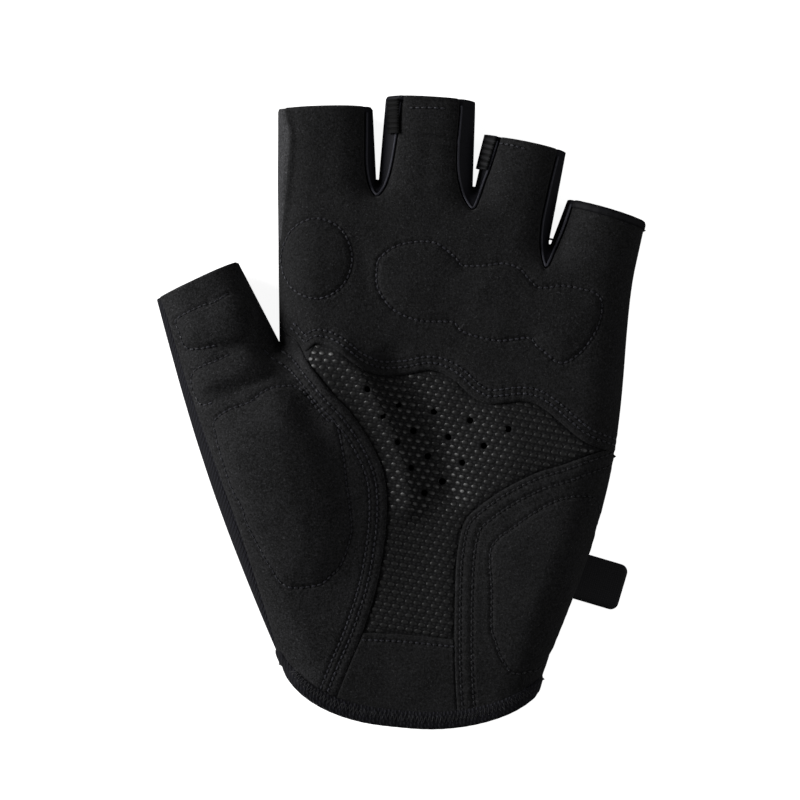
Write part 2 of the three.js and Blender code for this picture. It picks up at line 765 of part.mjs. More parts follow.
// Origin at the middle of the underside
const bounds = new THREE.Box3().setFromObject(group);
const middle = bounds.getCenter(new THREE.Vector3());
for (const mesh of group.children) {
  mesh.geometry.translate(-middle.x, -middle.y, -bounds.min.z);
}

export default group;
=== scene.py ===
"""Half-finger cycling glove lying palm up on a white table, dressed for the studio."""

import logging
import math
from collections.abc import Callable
from dataclasses import dataclass, field
from enum import Enum

import bmesh
import bpy
import numpy as np
from mathutils import Matrix, Vector


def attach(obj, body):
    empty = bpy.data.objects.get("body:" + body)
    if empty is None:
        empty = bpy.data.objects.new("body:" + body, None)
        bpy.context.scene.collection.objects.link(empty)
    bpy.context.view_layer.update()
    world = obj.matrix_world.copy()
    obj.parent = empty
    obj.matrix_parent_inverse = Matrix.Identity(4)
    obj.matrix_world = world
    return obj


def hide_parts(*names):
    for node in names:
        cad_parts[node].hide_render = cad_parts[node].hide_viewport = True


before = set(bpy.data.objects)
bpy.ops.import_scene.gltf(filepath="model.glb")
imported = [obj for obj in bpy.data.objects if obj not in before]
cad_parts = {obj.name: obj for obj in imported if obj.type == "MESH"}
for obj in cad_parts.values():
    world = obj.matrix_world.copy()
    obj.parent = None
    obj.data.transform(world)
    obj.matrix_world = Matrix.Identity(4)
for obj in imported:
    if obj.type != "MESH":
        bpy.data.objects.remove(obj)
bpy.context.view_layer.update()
LOG = logging.getLogger("glove")
MM = 0.001
TINY = 1e-9
SPECK = 1e-12
ENDLESS = 1e9
Socket = bpy.types.NodeSocket


def heading(lean: float) -> np.ndarray:
    """Gives the plan direction that leans from straight ahead.

    Args:
        lean: Degrees clockwise from the fingers' direction.

    Returns:
        A unit vector on the plan.
    """
    angle = math.radians(lean)
    return np.array([math.sin(angle), math.cos(angle)])


def right_of(way: np.ndarray) -> np.ndarray:
    """Turns a plan direction a quarter turn clockwise."""
    return np.array([way[1], -way[0]])


def left_of(ways: np.ndarray) -> np.ndarray:
    """Turns many plan directions a quarter turn anticlockwise."""
    return np.stack([-ways[:, 1], ways[:, 0]], axis=1)


def unit(start: np.ndarray, end: np.ndarray) -> np.ndarray:
    """Gives the unit direction from one plan point to another."""
    step = np.asarray(end, float) - np.asarray(start, float)
    return step / np.linalg.norm(step)


def smooth_step(share: np.ndarray) -> np.ndarray:
    """Eases a share from 0 to 1."""
    share = np.clip(share, 0.0, 1.0)
    return share * share * (3.0 - 2.0 * share)


def bump(away: np.ndarray, width: float) -> np.ndarray:
    """Gives a soft ridge profile that is 1 in the middle and fades over a width."""
    return np.exp(-((away / width) ** 2))


@dataclass
class Measure:
    """Many points' distances to a line, nearest points on it and lengths along it."""

    away: np.ndarray
    foot: np.ndarray
    arc: np.ndarray


class PlanLine:
    """A line on the plan, in millimetres, made of short straight steps."""

    def __init__(self, points: np.ndarray, closed: bool = False) -> None:
        """Stores the line.

        Args:
            points: Plan points in order.
            closed: Whether the last point joins the first.
        """
        points = np.asarray(points, float)
        if closed:
            points = np.vstack([points, points[:1]])
        self.points = points
        self.closed = closed
        steps = np.diff(points, axis=0)
        self.arcs = np.concatenate([[0.0], np.cumsum(np.linalg.norm(steps, axis=1))])

    @classmethod
    def through(cls, points: list, steps: int = 80, closed: bool = False) -> "PlanLine":
        """Draws a smooth line through points.

        Args:
            points: Plan points that the line passes through.
            steps: How many straight steps the line gets.
            closed: Whether it is a loop.

        Returns:
            The smooth line.
        """
        knots = np.asarray(points, float)
        count = len(knots)
        spans = count if closed else count - 1
        drawn = []
        for k in range(steps if closed else steps + 1):
            place = spans * k / steps
            index = min(int(place), spans - 1)
            t = place - index
            picks = np.arange(index - 1, index + 3)
            a, b, c, d = knots[picks % count if closed else np.clip(picks, 0, count - 1)]
            drawn.append(
                0.5 * (2 * b + (c - a) * t + (2 * a - 5 * b + 4 * c - d) * t * t
                       + (3 * b - a - 3 * c + d) * t ** 3)
            )
        return cls(np.array(drawn), closed)

    @property
    def length(self) -> float:
        """The line's length in millimetres."""
        return float(self.arcs[-1])

    def measure(self, points: np.ndarray) -> Measure:
        """Measures points against the line.

        Args:
            points: Plan points, one a row.

        Returns:
            Distance, nearest point and length along the line.
        """
        best = np.full(len(points), ENDLESS)
        foot = np.zeros((len(points), 2))
        arc = np.zeros(len(points))
        for k in range(len(self.points) - 1):
            start = self.points[k]
            step = self.points[k + 1] - start
            span = float(step @ step)
            if span < SPECK:
                continue
            share = np.clip(((points - start) @ step) / span, 0.0, 1.0)
            near = start + share[:, None] * step
            gap = points - near
            away = np.hypot(gap[:, 0], gap[:, 1])
            closer = away < best - TINY
            best = np.where(closer, away, best)
            foot = np.where(closer[:, None], near, foot)
            arc = np.where(closer, self.arcs[k] + share * math.sqrt(span), arc)
        return Measure(best, foot, arc)

    def at(self, arcs: np.ndarray) -> tuple[np.ndarray, np.ndarray]:
        """Finds places on the line.

        Args:
            arcs: Lengths along the line.

        Returns:
            The plan points there and the line's directions there.
        """
        arcs = np.clip(np.asarray(arcs, float), 0.0, self.length)
        index = np.searchsorted(self.arcs, arcs, side="right") - 1
        index = np.clip(index, 0, len(self.points) - 2)
        step = self.points[index + 1] - self.points[index]
        size = np.maximum(np.linalg.norm(step, axis=1), TINY)
        way = step / size[:, None]
        return self.points[index] + way * (arcs - self.arcs[index])[:, None], way

    def beside(self, distance: float, spacing: float = 1.2) -> "PlanLine":
        """Draws the line that runs beside this one.

        Args:
            distance: How far to the left, or to the right where negative.
            spacing: Step between its points.

        Returns:
            The neighbouring line.
        """
        count = max(4, int(self.length / spacing))
        arcs = np.linspace(0.0, self.length, count + 1)
        points, way = self.at(arcs)
        # The directions a millimetre on and a millimetre back round the corners off.
        ahead = self.at(arcs + 1.0)[1] + self.at(arcs - 1.0)[1] + way
        ahead /= np.linalg.norm(ahead, axis=1)[:, None]
        moved = points + left_of(ahead) * distance
        return PlanLine(moved[:-1] if self.closed else moved, self.closed)

    def holds(self, points: np.ndarray) -> np.ndarray:
        """Tells which points lie inside this line taken as a loop."""
        ring = self.points[:-1] if self.closed else self.points
        inside = np.zeros(len(points), bool)
        previous = ring[-1]
        for corner in ring:
            crosses = (corner[1] > points[:, 1]) != (previous[1] > points[:, 1])
            rise = previous[1] - corner[1]
            rise = rise if abs(rise) > SPECK else SPECK
            reach = (previous[0] - corner[0]) * (points[:, 1] - corner[1]) / rise + corner[0]
            inside ^= crosses & (points[:, 0] < reach)
            previous = corner
        return inside


def nearest(lines: list, points: np.ndarray) -> tuple[np.ndarray, np.ndarray]:
    """Finds the nearest of several lines for each point.

    Args:
        lines: Lines on the plan.
        points: Plan points.

    Returns:
        The distances and the nearest points.
    """
    best = np.full(len(points), ENDLESS)
    foot = points.copy()
    for line in lines:
        found = line.measure(points)
        closer = found.away < best
        best = np.where(closer, found.away, best)
        foot = np.where(closer[:, None], found.foot, foot)
    return best, foot


@dataclass(frozen=True)
class Finger:
    """One half finger's sizes in millimetres and degrees."""

    name: str
    base: float
    step: float
    lean: float
    length: float
    tip: float


@dataclass(frozen=True)
class Tip:
    """Corners of one finger's open end."""

    ahead: np.ndarray
    left: np.ndarray
    right: np.ndarray


@dataclass
class GloveForm:
    """The filled-out glove's plan and heights, with the same sizes as the solid model."""

    wrist_left: tuple = (-33.2438, -71.4487)
    wrist_width: float = 71.6
    wrist_tilt: float = -5.9
    hem_sag: float = 12.3
    hem_fullness: float = 2.5
    hem_skew: float = 0.85
    palm_length: float = 135.2
    palm_lean: float = 0.6
    outer_bulge: float = 6.2
    outer_roundness: float = 1.5
    thumb_bulge: float = 2.4
    thumb_crotch: float = 0.671
    thumb_lean: float = -27.4
    thumb_length: float = 25.2
    thumb_tip: float = 25.1
    thumb_slant: float = 2.2
    side_height: float = 8.0
    edge_round: float = 12.0
    edge_fullness: float = 2.1
    reach: float = 14.0
    side_steps: int = 40
    hem_steps: int = 60
    fingers: tuple = (
        Finger("index", 27.9, 0.0, -1.3, 20.6, 26.8),
        Finger("middle", 27.0, -3.0, 3.4, 23.9, 25.7),
        Finger("ring", 26.4, -36.5, 11.6, 20.3, 23.2),
        Finger("little", 24.9, -17.5, 16.5, 13.5, 22.9),
    )
    profile: tuple = (
        (-0.2, 18.0), (0.1, 20.0), (0.5, 21.5), (0.8, 20.0), (1.05, 17.5), (1.4, 17.0),
    )
    mounds: tuple = (
        (0.03, 0.4, 0.3, 0.26, 5.0),
        (0.9, 0.3, 0.26, 0.3, 3.5),
        (0.46, 0.48, 0.2, 0.24, -4.0),
        (-0.27, 0.76, 0.22, 0.14, -2.5),
    )
    strap_length: float = 74.0
    strap_width: float = 13.2
    strap_turn: float = -16.5
    strap_along: float = 0.281
    strap_out: float = 13.4
    strap_lift: float = 2.4
    strap_clear: float = 8.0
    strap_fade: float = 9.0
    tips: list = field(default_factory=list)
    knuckles: list = field(default_factory=list)

    def __post_init__(self) -> None:
        """Works out the corners, the side lines and the outline."""
        self.wrist_left = np.array(self.wrist_left)
        self.wrist_right = self.wrist_left + heading(90 - self.wrist_tilt) * self.wrist_width
        self.knuckles = [self.wrist_left + heading(-self.palm_lean) * self.palm_length]
        for finger in self.fingers:
            self.knuckles.append(self.knuckles[-1] + heading(90 - finger.step) * finger.base)
        self.palm_width = float(np.linalg.norm(self.knuckles[-1] - self.knuckles[0]))
        for k, finger in enumerate(self.fingers):
            ahead = heading(finger.lean)
            centre = (self.knuckles[k] + self.knuckles[k + 1]) / 2 + ahead * finger.length
            half = right_of(ahead) * finger.tip / 2
            self.tips.append(Tip(ahead, centre - half, centre + half))
        self.crotch = self.wrist_left + (self.knuckles[0] - self.wrist_left) * self.thumb_crotch
        self.thumb_ahead = heading(self.thumb_lean)
        self.thumb_inner = self.crotch + self.thumb_ahead * self.thumb_length
        across = right_of(heading(self.thumb_lean + self.thumb_slant))
        self.thumb_outer = self.thumb_inner - across * self.thumb_tip
        shares = np.linspace(0.0, 1.0, self.side_steps + 1)
        self.left_side = np.array([self.left_edge(s) for s in shares])
        self.right_side = np.array([self.right_edge(s) for s in shares])
        shares = np.linspace(0.0, 1.0, self.hem_steps + 1)
        self.hem = np.array([self.hem_point(s) for s in shares])
        far = [tip.ahead * self.reach for tip in self.tips]
        thumb_far = self.thumb_ahead * self.reach
        first = self.tips[0]
        self.side_lines = [
            PlanLine(np.vstack([self.left_side, self.thumb_outer + thumb_far])),
            PlanLine([self.thumb_inner + thumb_far, self.crotch, self.knuckles[0], first.left,
                      first.left + far[0]]),
        ]
        for k in range(3):
            self.side_lines.append(PlanLine([
                self.tips[k].right + far[k], self.tips[k].right, self.knuckles[k + 1],
                self.tips[k + 1].left, self.tips[k + 1].left + far[k + 1],
            ]))
        last = self.tips[3].right
        self.side_lines.append(PlanLine(np.vstack([self.right_side, last, last + far[3]])))
        outline = list(self.hem) + list(self.right_side[1:])
        for k in (3, 2, 1, 0):
            outline += [self.tips[k].right, self.tips[k].left, self.knuckles[k]]
        outline += [self.crotch, self.thumb_inner] + list(self.left_side[:0:-1])
        self.outline = PlanLine(np.array(outline), closed=True)
        self.strap_ahead = heading(90 - self.strap_turn)
        self.strap_end = self.right_edge(self.strap_along) + self.strap_ahead * self.strap_out
        strap_start = self.strap_end - self.strap_ahead * self.strap_length
        self.strap_line = PlanLine([strap_start, self.strap_end])

    def palm_point(self, across: float, along: float) -> np.ndarray:
        """Finds a plan point from its shares across the palm and along it."""
        low = self.wrist_left + (self.wrist_right - self.wrist_left) * across
        high = self.knuckles[0] + (self.knuckles[-1] - self.knuckles[0]) * across
        return low + (high - low) * along

    def left_edge(self, share: float) -> np.ndarray:
        """Finds the thumb side's outline from the wrist to the thumb's end."""
        out = right_of(unit(self.wrist_left, self.thumb_outer)) * -self.thumb_bulge
        straight = self.wrist_left + (self.thumb_outer - self.wrist_left) * share
        return straight + out * math.sin(math.pi * share)

    def right_edge(self, share: float) -> np.ndarray:
        """Finds the outer side's outline from the wrist to the little finger."""
        out = right_of(unit(self.wrist_right, self.knuckles[-1])) * self.outer_bulge
        straight = self.wrist_right + (self.knuckles[-1] - self.wrist_right) * share
        return straight + out * max(0.0, math.sin(math.pi * share)) ** self.outer_roundness

    def hem_point(self, share: float) -> np.ndarray:
        """Finds the hem's outline across the wrist."""
        swing = 1 - abs(2 * share ** self.hem_skew - 1) ** self.hem_fullness
        straight = self.wrist_left + (self.wrist_right - self.wrist_left) * share
        return straight + np.array([0.0, -self.hem_sag * swing])

    def seam(self, rows: tuple, steps: int = 90) -> PlanLine:
        """Draws a seam from rows of shares across and along the palm."""
        return PlanLine.through([self.palm_point(u, v) for u, v in rows], steps)

    def fullness(self, points: np.ndarray) -> np.ndarray:
        """Gives how full the glove is at each point, from 0 at its side lines to 1."""
        share = np.ones(len(points))
        power = self.edge_fullness
        for line in self.side_lines:
            inward = np.minimum(1.0, line.measure(points).away / self.edge_round)
            share *= (1 - (1 - inward) ** power) ** (1 / power)
        return share

    def crown(self, points: np.ndarray) -> np.ndarray:
        """Gives the palm side's height away from its edges."""
        along = (points[:, 1] - self.wrist_left[1]) / self.palm_length
        height = np.full(len(points), self.profile[-1][1])
        for (low, low_z), (high, high_z) in reversed(list(zip(self.profile, self.profile[1:]))):
            share = smooth_step((along - low) / (high - low))
            height = np.where(along <= high, low_z + (high_z - low_z) * share, height)
        for across, up, width, length, rise in self.mounds:
            centre = self.palm_point(across, up)
            u = (points[:, 0] - centre[0]) / (width * self.palm_width)
            v = (points[:, 1] - centre[1]) / (length * self.palm_length)
            height = height + rise * np.exp(-u * u - v * v)
        return height

    def back_floor(self, points: np.ndarray) -> np.ndarray:
        """Gives the back's lowest height, which rises over the strap."""
        away = self.strap_line.measure(points).away - self.strap_width / 2
        return self.strap_lift * (1 - smooth_step((away - self.strap_clear) / self.strap_fade))

    def palm_height(self, points: np.ndarray) -> np.ndarray:
        """Gives the palm side's height at plan points."""
        return self.side_height + (self.crown(points) - self.side_height) * self.fullness(points)

    def back_height(self, points: np.ndarray) -> np.ndarray:
        """Gives the back's height at plan points."""
        floor = self.back_floor(points)
        return self.side_height - (self.side_height - floor) * self.fullness(points)

    def hug_sides(self, points: np.ndarray) -> np.ndarray:
        """Draws plan points towards the side lines, so that a steep side gets its share."""
        best, foot = nearest(self.side_lines, points)
        near = best < self.edge_round
        target = self.edge_round * (1 - np.cos(math.pi / 2 * best / self.edge_round))
        scale = np.where(near, target / np.maximum(best, TINY), 1.0)
        return foot + (points - foot) * scale[:, None]


FORM = GloveForm()


class Face(Enum):
    """Which face of the flattened glove a sheet covers."""

    PALM = 1
    BACK = 2
    BOTH = 3


class Seams:
    """Seam lines of the palm side, from shares of the palm frame."""

    thumb = FORM.seam((
        (0.006, 0.69), (0.07, 0.66), (0.16, 0.596), (0.232, 0.555), (0.297, 0.503),
        (0.345, 0.444), (0.365, 0.375), (0.365, 0.294), (0.347, 0.195), (0.305, 0.095),
        (0.255, 0.016), (0.18, -0.1),
    ))
    upper = FORM.seam((
        (0.006, 0.69), (0.07, 0.664), (0.12, 0.683), (0.169, 0.678), (0.236, 0.653),
        (0.308, 0.644), (0.391, 0.656), (0.466, 0.676), (0.529, 0.669), (0.6, 0.638),
        (0.66, 0.631), (0.753, 0.651), (0.814, 0.644), (0.937, 0.595), (1.013, 0.581),
        (1.13, 0.575),
    ))
    outer = FORM.seam((
        (0.73, -0.13), (0.685, -0.03), (0.651, 0.074), (0.626, 0.189), (0.612, 0.29),
        (0.621, 0.364), (0.658, 0.402), (0.731, 0.452), (0.822, 0.5), (0.908, 0.533),
        (0.985, 0.566), (1.13, 0.62),
    ))
    heel = FORM.seam(((0.15, 0.09), (0.339, 0.101), (0.5, 0.107), (0.8, 0.111)))


FAR = 120.0
BINDING_WIDTH = 5.0
BINDING_LAP = 1.2
LITTLE_EDGING_WIDTH = 2.4
LITTLE_EDGING_LAP = 1.0
INDEX_STRIP_LENGTH = 38.0


def loop_of(line: PlanLine, *corners: tuple) -> PlanLine:
    """Closes a seam into a plan region by way of far corners."""
    return PlanLine(np.vstack([line.points, np.array(corners)]), closed=True)


class Regions:
    """Plan regions that the pieces are cut to."""

    valley = FORM.crotch + heading(FORM.thumb_lean / 2) * FAR
    thumb = loop_of(Seams.thumb, (-FAR, -FAR), (-FAR, valley[1]), valley)
    upper = loop_of(Seams.upper, (FAR, valley[1]), valley)
    outer = loop_of(Seams.outer, (FAR, 0.0), (FAR, -FAR), (0.0, -FAR))
    heel = loop_of(Seams.heel, (FAR, -FAR), (-FAR, -FAR))
    binding = PlanLine(np.vstack([
        [(-FAR, FORM.wrist_left[1] + BINDING_WIDTH)], FORM.hem + np.array([0.0, BINDING_WIDTH]),
        [(FAR, FORM.wrist_right[1] + BINDING_WIDTH), (FAR, -FAR), (-FAR, -FAR)],
    ]), closed=True)
    under_binding = PlanLine(binding.points[:-1] - np.array([0.0, BINDING_LAP]), closed=True)
    root_share = 0.15

    @staticmethod
    def slot(index: int, left_tip: float, left_base: float, depth: float, right_base: float,
             right_tip: float) -> PlanLine:
        """Draws the region of one insert between two fingers.

        Args:
            index: Which slot, from the index finger on.
            left_tip: Width on the left finger's end.
            left_base: Width on the left finger's root.
            depth: Depth below the slot.
            right_base: Width on the right finger's root.
            right_tip: Width on the right finger's end.

        Returns:
            The region's loop.
        """
        left, right = FORM.tips[index], FORM.tips[index + 1]
        base = FORM.knuckles[index + 1]
        a, b = right_of(left.ahead), right_of(right.ahead)
        down = unit((left.right + right.left) / 2, base)
        points = [
            left.right - a * left_tip + left.ahead * FORM.reach,
            left.right - a * left_tip,
            base + (left.right - base) * Regions.root_share - a * left_base,
            base + down * depth,
            base + (right.left - base) * Regions.root_share + b * right_base,
            right.left + b * right_tip,
            right.left + b * right_tip + right.ahead * FORM.reach,
        ]
        line = PlanLine.through(points, 60)
        return PlanLine(line.points, closed=True)


STRIP_STEPS = 60


def strip_region(rows: tuple, along: Callable[[float], np.ndarray], outward: np.ndarray,
                 width: float) -> PlanLine:
    """Draws the region of a narrow strip along the outline.

    Args:
        rows: Pairs of a share down the strip and a share of its width.
        along: Function that gives the outline's point for a share down.
        outward: Direction away from the glove.
        width: The strip's full width.

    Returns:
        The region's loop.
    """
    places = [along(down) - outward * width * share for down, share in rows]
    inner = PlanLine.through(places, STRIP_STEPS)
    ends = [inner.points[-1] + outward * FORM.reach, inner.points[0] + outward * FORM.reach]
    return PlanLine(np.vstack([inner.points, ends]), closed=True)


def index_side(down: float) -> np.ndarray:
    """Finds the index finger's outer outline from its end down."""
    start, knuckle = FORM.tips[0].left, FORM.knuckles[0]
    finger = float(np.linalg.norm(knuckle - start))
    reach = down * INDEX_STRIP_LENGTH
    if reach < finger:
        return start + unit(start, knuckle) * reach
    return knuckle + unit(knuckle, FORM.crotch) * (reach - finger)


def thumb_side(down: float) -> np.ndarray:
    """Finds the thumb's outer outline from its end down to the wrist."""
    if down < 0:
        return FORM.thumb_outer + FORM.thumb_ahead * FORM.reach / 2
    return FORM.left_edge(1 - down)


SLOT_REGIONS = [
    Regions.slot(0, 2.2, 2.9, 4.2, 3.6, 4.9),
    Regions.slot(1, 4.5, 5.0, 6.7, 2.6, 3.8),
    Regions.slot(2, 2.8, 3.6, 7.5, 1.9, 1.8),
]
INDEX_OUTWARD = np.array([-1.0, 0.0])
INDEX_STRIP = strip_region(
    ((-0.1, 0.3), (0.09, 0.74), (0.2, 1.0), (0.38, 0.91), (0.64, 0.65), (0.86, 0.32), (1.0, 0.0)),
    index_side, INDEX_OUTWARD, 3.4,
)
INDEX_TUCK = strip_region(
    ((-0.1, 0.5), (0.2, 1.0), (0.64, 0.75), (1.0, 0.1)), index_side, INDEX_OUTWARD, 4.6,
)
SIDE_OUTWARD = right_of(unit(FORM.thumb_outer, FORM.wrist_left))
SIDE_STRIP = strip_region(
    ((-0.08, 0.4), (0.06, 0.52), (0.18, 0.6), (0.37, 0.86), (0.58, 1.0), (0.7, 0.86), (0.82, 0.6),
     (0.91, 0.33), (0.97, 0.0)),
    thumb_side, SIDE_OUTWARD, 4.2,
)
SIDE_TUCK = strip_region(
    ((-0.08, 0.52), (0.18, 0.7), (0.37, 0.9), (0.58, 1.0), (0.82, 0.7), (0.97, 0.2)),
    thumb_side, SIDE_OUTWARD, 5.6,
)


EDGING_OVERHANG = 1.5


def edging_region(width: float) -> PlanLine:
    """Draws the region of the little finger's edging."""
    tip = FORM.tips[3]
    side = right_of(tip.ahead)
    left, right = tip.left - side * EDGING_OVERHANG, tip.right + side * FORM.reach
    return PlanLine(np.array([
        left - tip.ahead * width, right - tip.ahead * width,
        right + tip.ahead * FORM.reach, left + tip.ahead * FORM.reach,
    ]), closed=True)


LITTLE_EDGING = edging_region(LITTLE_EDGING_WIDTH)
UNDER_EDGING = edging_region(LITTLE_EDGING_WIDTH - LITTLE_EDGING_LAP)


PIXEL = 0.28
PLAN_SHIFT = (-0.444, 0.251)
PLAN_MIDDLE = (400, 410)


def pixel(px: float, py: float) -> tuple[float, float]:
    """Turns a place measured on the photograph's plan into millimetres."""
    return ((px - PLAN_MIDDLE[0]) * PIXEL + PLAN_SHIFT[0],
            (PLAN_MIDDLE[1] - py) * PIXEL + PLAN_SHIFT[1])


def traced(*places: tuple, closed: bool = False, steps: int = 0) -> PlanLine:
    """Draws a smooth line through measured places."""
    knots = [pixel(*place) for place in places]
    return PlanLine.through(knots, steps or len(places) * 8, closed)


@dataclass(frozen=True)
class StitchRow:
    """A row of stitches: where it runs and how its thread lies."""

    line: PlanLine
    pitch: float = 1.62
    groove: float = 0.34
    width: float = 0.6
    pucker: float = 0.07

    @property
    def step(self) -> float:
        """The pitch that divides the line evenly."""
        return self.line.length / max(1, round(self.line.length / self.pitch))


@dataclass(frozen=True)
class Pad:
    """A padded field: its outline and how far it puffs up."""

    outline: PlanLine
    rise: float = 1.2
    shoulder: float = 3.0


@dataclass(frozen=True)
class Fold:
    """A soft crease or ridge between two plan points."""

    start: tuple
    end: tuple
    width: float
    height: float


@dataclass(frozen=True)
class Dent:
    """A soft hollow round a plan point, or a swell where its depth is negative."""

    centre: tuple
    reach: float
    depth: float


@dataclass(frozen=True)
class Wave:
    """A soft ridge or valley along a line."""

    line: PlanLine
    width: float
    height: float


class Terrain:
    """Large soft folds that every layer of the palm side follows."""

    wave_fade = 7.0
    fold_ends = 0.02
    fold_taper = 0.6

    def __init__(self, unevenness: float = 0.18) -> None:
        """Lists the folds, dents and waves.

        Args:
            unevenness: Height of the cloth's slow waves.
        """
        self.unevenness = unevenness
        self.folds = [
            Fold(pixel(178, 352), pixel(262, 345), 1.5, -0.6),
            Fold(pixel(192, 404), pixel(285, 372), 1.9, -0.9),
            Fold(pixel(276, 330), pixel(352, 500), 4.2, -2.0),
            Fold(pixel(300, 600), pixel(372, 622), 3.0, -0.3),
            Fold(pixel(286, 604), pixel(322, 660), 3.2, 0.35),
            Fold(pixel(262, 330), pixel(215, 362), 2.0, -0.4),
            Fold(pixel(401, 140), pixel(456, 144), 0.9, -0.65),
            Fold(pixel(489, 174), pixel(547, 186), 0.9, -0.55),
            Fold(pixel(386, 102), pixel(471, 108.5), 0.8, -0.7),
            Fold(pixel(401, 146), pixel(450, 149), 1.6, 0.25),
            Fold(pixel(283, 322), pixel(298, 318), 1.3, 0.4),
            Fold(pixel(392, 200), pixel(440, 205), 2.5, -0.25),
            Fold(pixel(300, 200), pixel(352, 196), 2.5, -0.25),
            Fold(pixel(350, 230), pixel(375, 300), 3.5, -0.6),
        ]
        self.dents = [Dent(pixel(282, 345), 9.0, 3.2), Dent(pixel(262, 440), 10.0, -0.8)]
        self.waves = [
            Wave(traced((324, 340), (358, 372), (386, 420), (404, 470), (411, 525)), 3.2, 2.7),
            Wave(traced((374, 348), (410, 392), (436, 448), (452, 510)), 4.2, -2.1),
            Wave(traced((440, 362), (482, 400), (502, 440), (505, 480)), 7.5, 0.9),
            Wave(PlanLine(INDEX_STRIP.points[:STRIP_STEPS]).beside(0.8), 0.7, 1.1),
        ]

    def height(self, points: np.ndarray) -> np.ndarray:
        """Gives the folds' height at plan points.

        Args:
            points: Plan points.

        Returns:
            Heights outwards from the plain form.
        """
        rise = self.unevenness * slow_waves(points)
        for dent in self.dents:
            rise -= dent.depth * bump(np.hypot(*(points - np.array(dent.centre)).T), dent.reach)
        for fold in self.folds:
            line = PlanLine([fold.start, fold.end])
            found = line.measure(points)
            share = np.clip(found.arc / line.length, self.fold_ends, 1 - self.fold_ends)
            taper = np.sin(math.pi * share) ** self.fold_taper
            rise += fold.height * bump(found.away, fold.width) * taper
        for wave in self.waves:
            found = wave.line.measure(points)
            end_gap = np.minimum(found.arc, wave.line.length - found.arc)
            ends = smooth_step(end_gap / self.wave_fade)
            rise += wave.height * bump(found.away, wave.width) * ends
        return rise * FORM.fullness(points)


@dataclass(frozen=True)
class Sewing:
    """How seams and stitches mark the cloth, in millimetres and shares."""

    roll: float = 0.35
    roll_width: float = 0.55
    groove_mean: float = 0.75
    groove_beat: float = 0.45
    welt_share: float = 0.3
    welt_away: float = 1.15
    welt_width: float = 0.7
    pucker_length: float = 3.7
    pucker_swing: float = 1.3
    pucker_drift: float = 5.0
    pucker_reach: float = 2.4
    side_fade: float = 0.35
    slope_step: float = 0.4


SEWING = Sewing()


class Relief:
    """Low relief of a panel: seams, rows, pads, folds and the cloth's own unevenness."""

    def __init__(self, edges: list = (), rows: list = (), pads: list = (),
                 outset: float = 0.0) -> None:
        """Stores what shapes the panel.

        Args:
            edges: Cut edges that roll down a little.
            rows: Stitched rows.
            pads: Padded fields.
            outset: Even shift outwards of the whole panel.
        """
        self.edges = edges
        self.rows = rows
        self.pads = pads
        self.outset = outset

    def height(self, points: np.ndarray) -> np.ndarray:
        """Gives the relief at plan points, in millimetres.

        Args:
            points: Plan points.

        Returns:
            Heights outwards from the plain form.
        """
        rise = np.zeros(len(points))
        for edge in self.edges:
            rise -= SEWING.roll * bump(edge.measure(points).away, SEWING.roll_width)
        for row in self.rows:
            found = row.line.measure(points)
            beat = np.cos(2 * math.pi * found.arc / row.step)
            deep = SEWING.groove_mean + SEWING.groove_beat * beat
            rise -= row.groove * bump(found.away, row.width) * deep
            welt = bump(found.away - SEWING.welt_away, SEWING.welt_width)
            rise += SEWING.welt_share * row.groove * welt
            drift = SEWING.pucker_swing * np.sin(found.arc / SEWING.pucker_drift)
            pucker = np.sin(2 * math.pi * found.arc / SEWING.pucker_length + drift)
            rise += row.pucker * pucker * np.exp(-found.away / SEWING.pucker_reach)
        for pad in self.pads:
            found = pad.outline.measure(points)
            inside = pad.outline.holds(points)
            depth = np.where(inside, found.away, 0.0)
            rise += pad.rise * (1 - np.exp(-depth / pad.shoulder))
        sides = smooth_step(FORM.fullness(points) / SEWING.side_fade)
        return rise * sides + self.outset + TERRAIN.height(points)

    def lift(self, points: np.ndarray, up: float = 0.0) -> np.ndarray:
        """Places plan points on the finished palm side.

        Args:
            points: Plan points.
            up: Further distance outwards.

        Returns:
            Points in space, in millimetres.
        """
        height = FORM.palm_height(points)
        east, north = ((height - FORM.palm_height(points + shift)) / SEWING.slope_step
                       for shift in SEWING.slope_step * np.eye(2))
        normal = np.column_stack([east, north, np.ones(len(points))])
        normal /= np.linalg.norm(normal, axis=1)[:, None]
        base = np.column_stack([points, height])
        return base + normal * (self.height(points) + up)[:, None]


SLOW_WAVES = (
    (12, 23.0, 0.4, 0.3), (75, 17.0, 1.9, 0.26), (131, 12.5, 3.1, 0.2),
    (40, 9.3, 5.2, 0.14), (102, 6.7, 0.9, 0.1),
)
SWING = 1.6
SWING_REACH = 31.0


def slow_waves(points: np.ndarray) -> np.ndarray:
    """Gives gentle unevenness, like cloth that has been handled.

    Args:
        points: Plan points.

    Returns:
        Heights from -1 to 1.
    """
    total = np.zeros(len(points))
    for turn, reach, shift, share in SLOW_WAVES:
        way = heading(turn)
        swing = np.sin((points @ right_of(way)) / SWING_REACH + shift) * SWING
        total += share * np.sin(2 * math.pi * (points @ way) / reach + shift + swing)
    return total


TERRAIN = Terrain()


def remove_faces(mesh: bmesh.types.BMesh, lost: list) -> None:
    """Removes faces and the points that they leave behind."""
    bmesh.ops.delete(mesh, geom=lost, context="FACES")
    bmesh.ops.delete(mesh, geom=[v for v in mesh.verts if not v.link_faces], context="VERTS")


def look_up(mesh: bmesh.types.BMesh) -> None:
    """Turns an open sheet's faces over where they look down."""
    mesh.normal_update()
    if sum(face.normal.z for face in mesh.faces) < 0:
        bmesh.ops.reverse_faces(mesh, faces=mesh.faces[:])


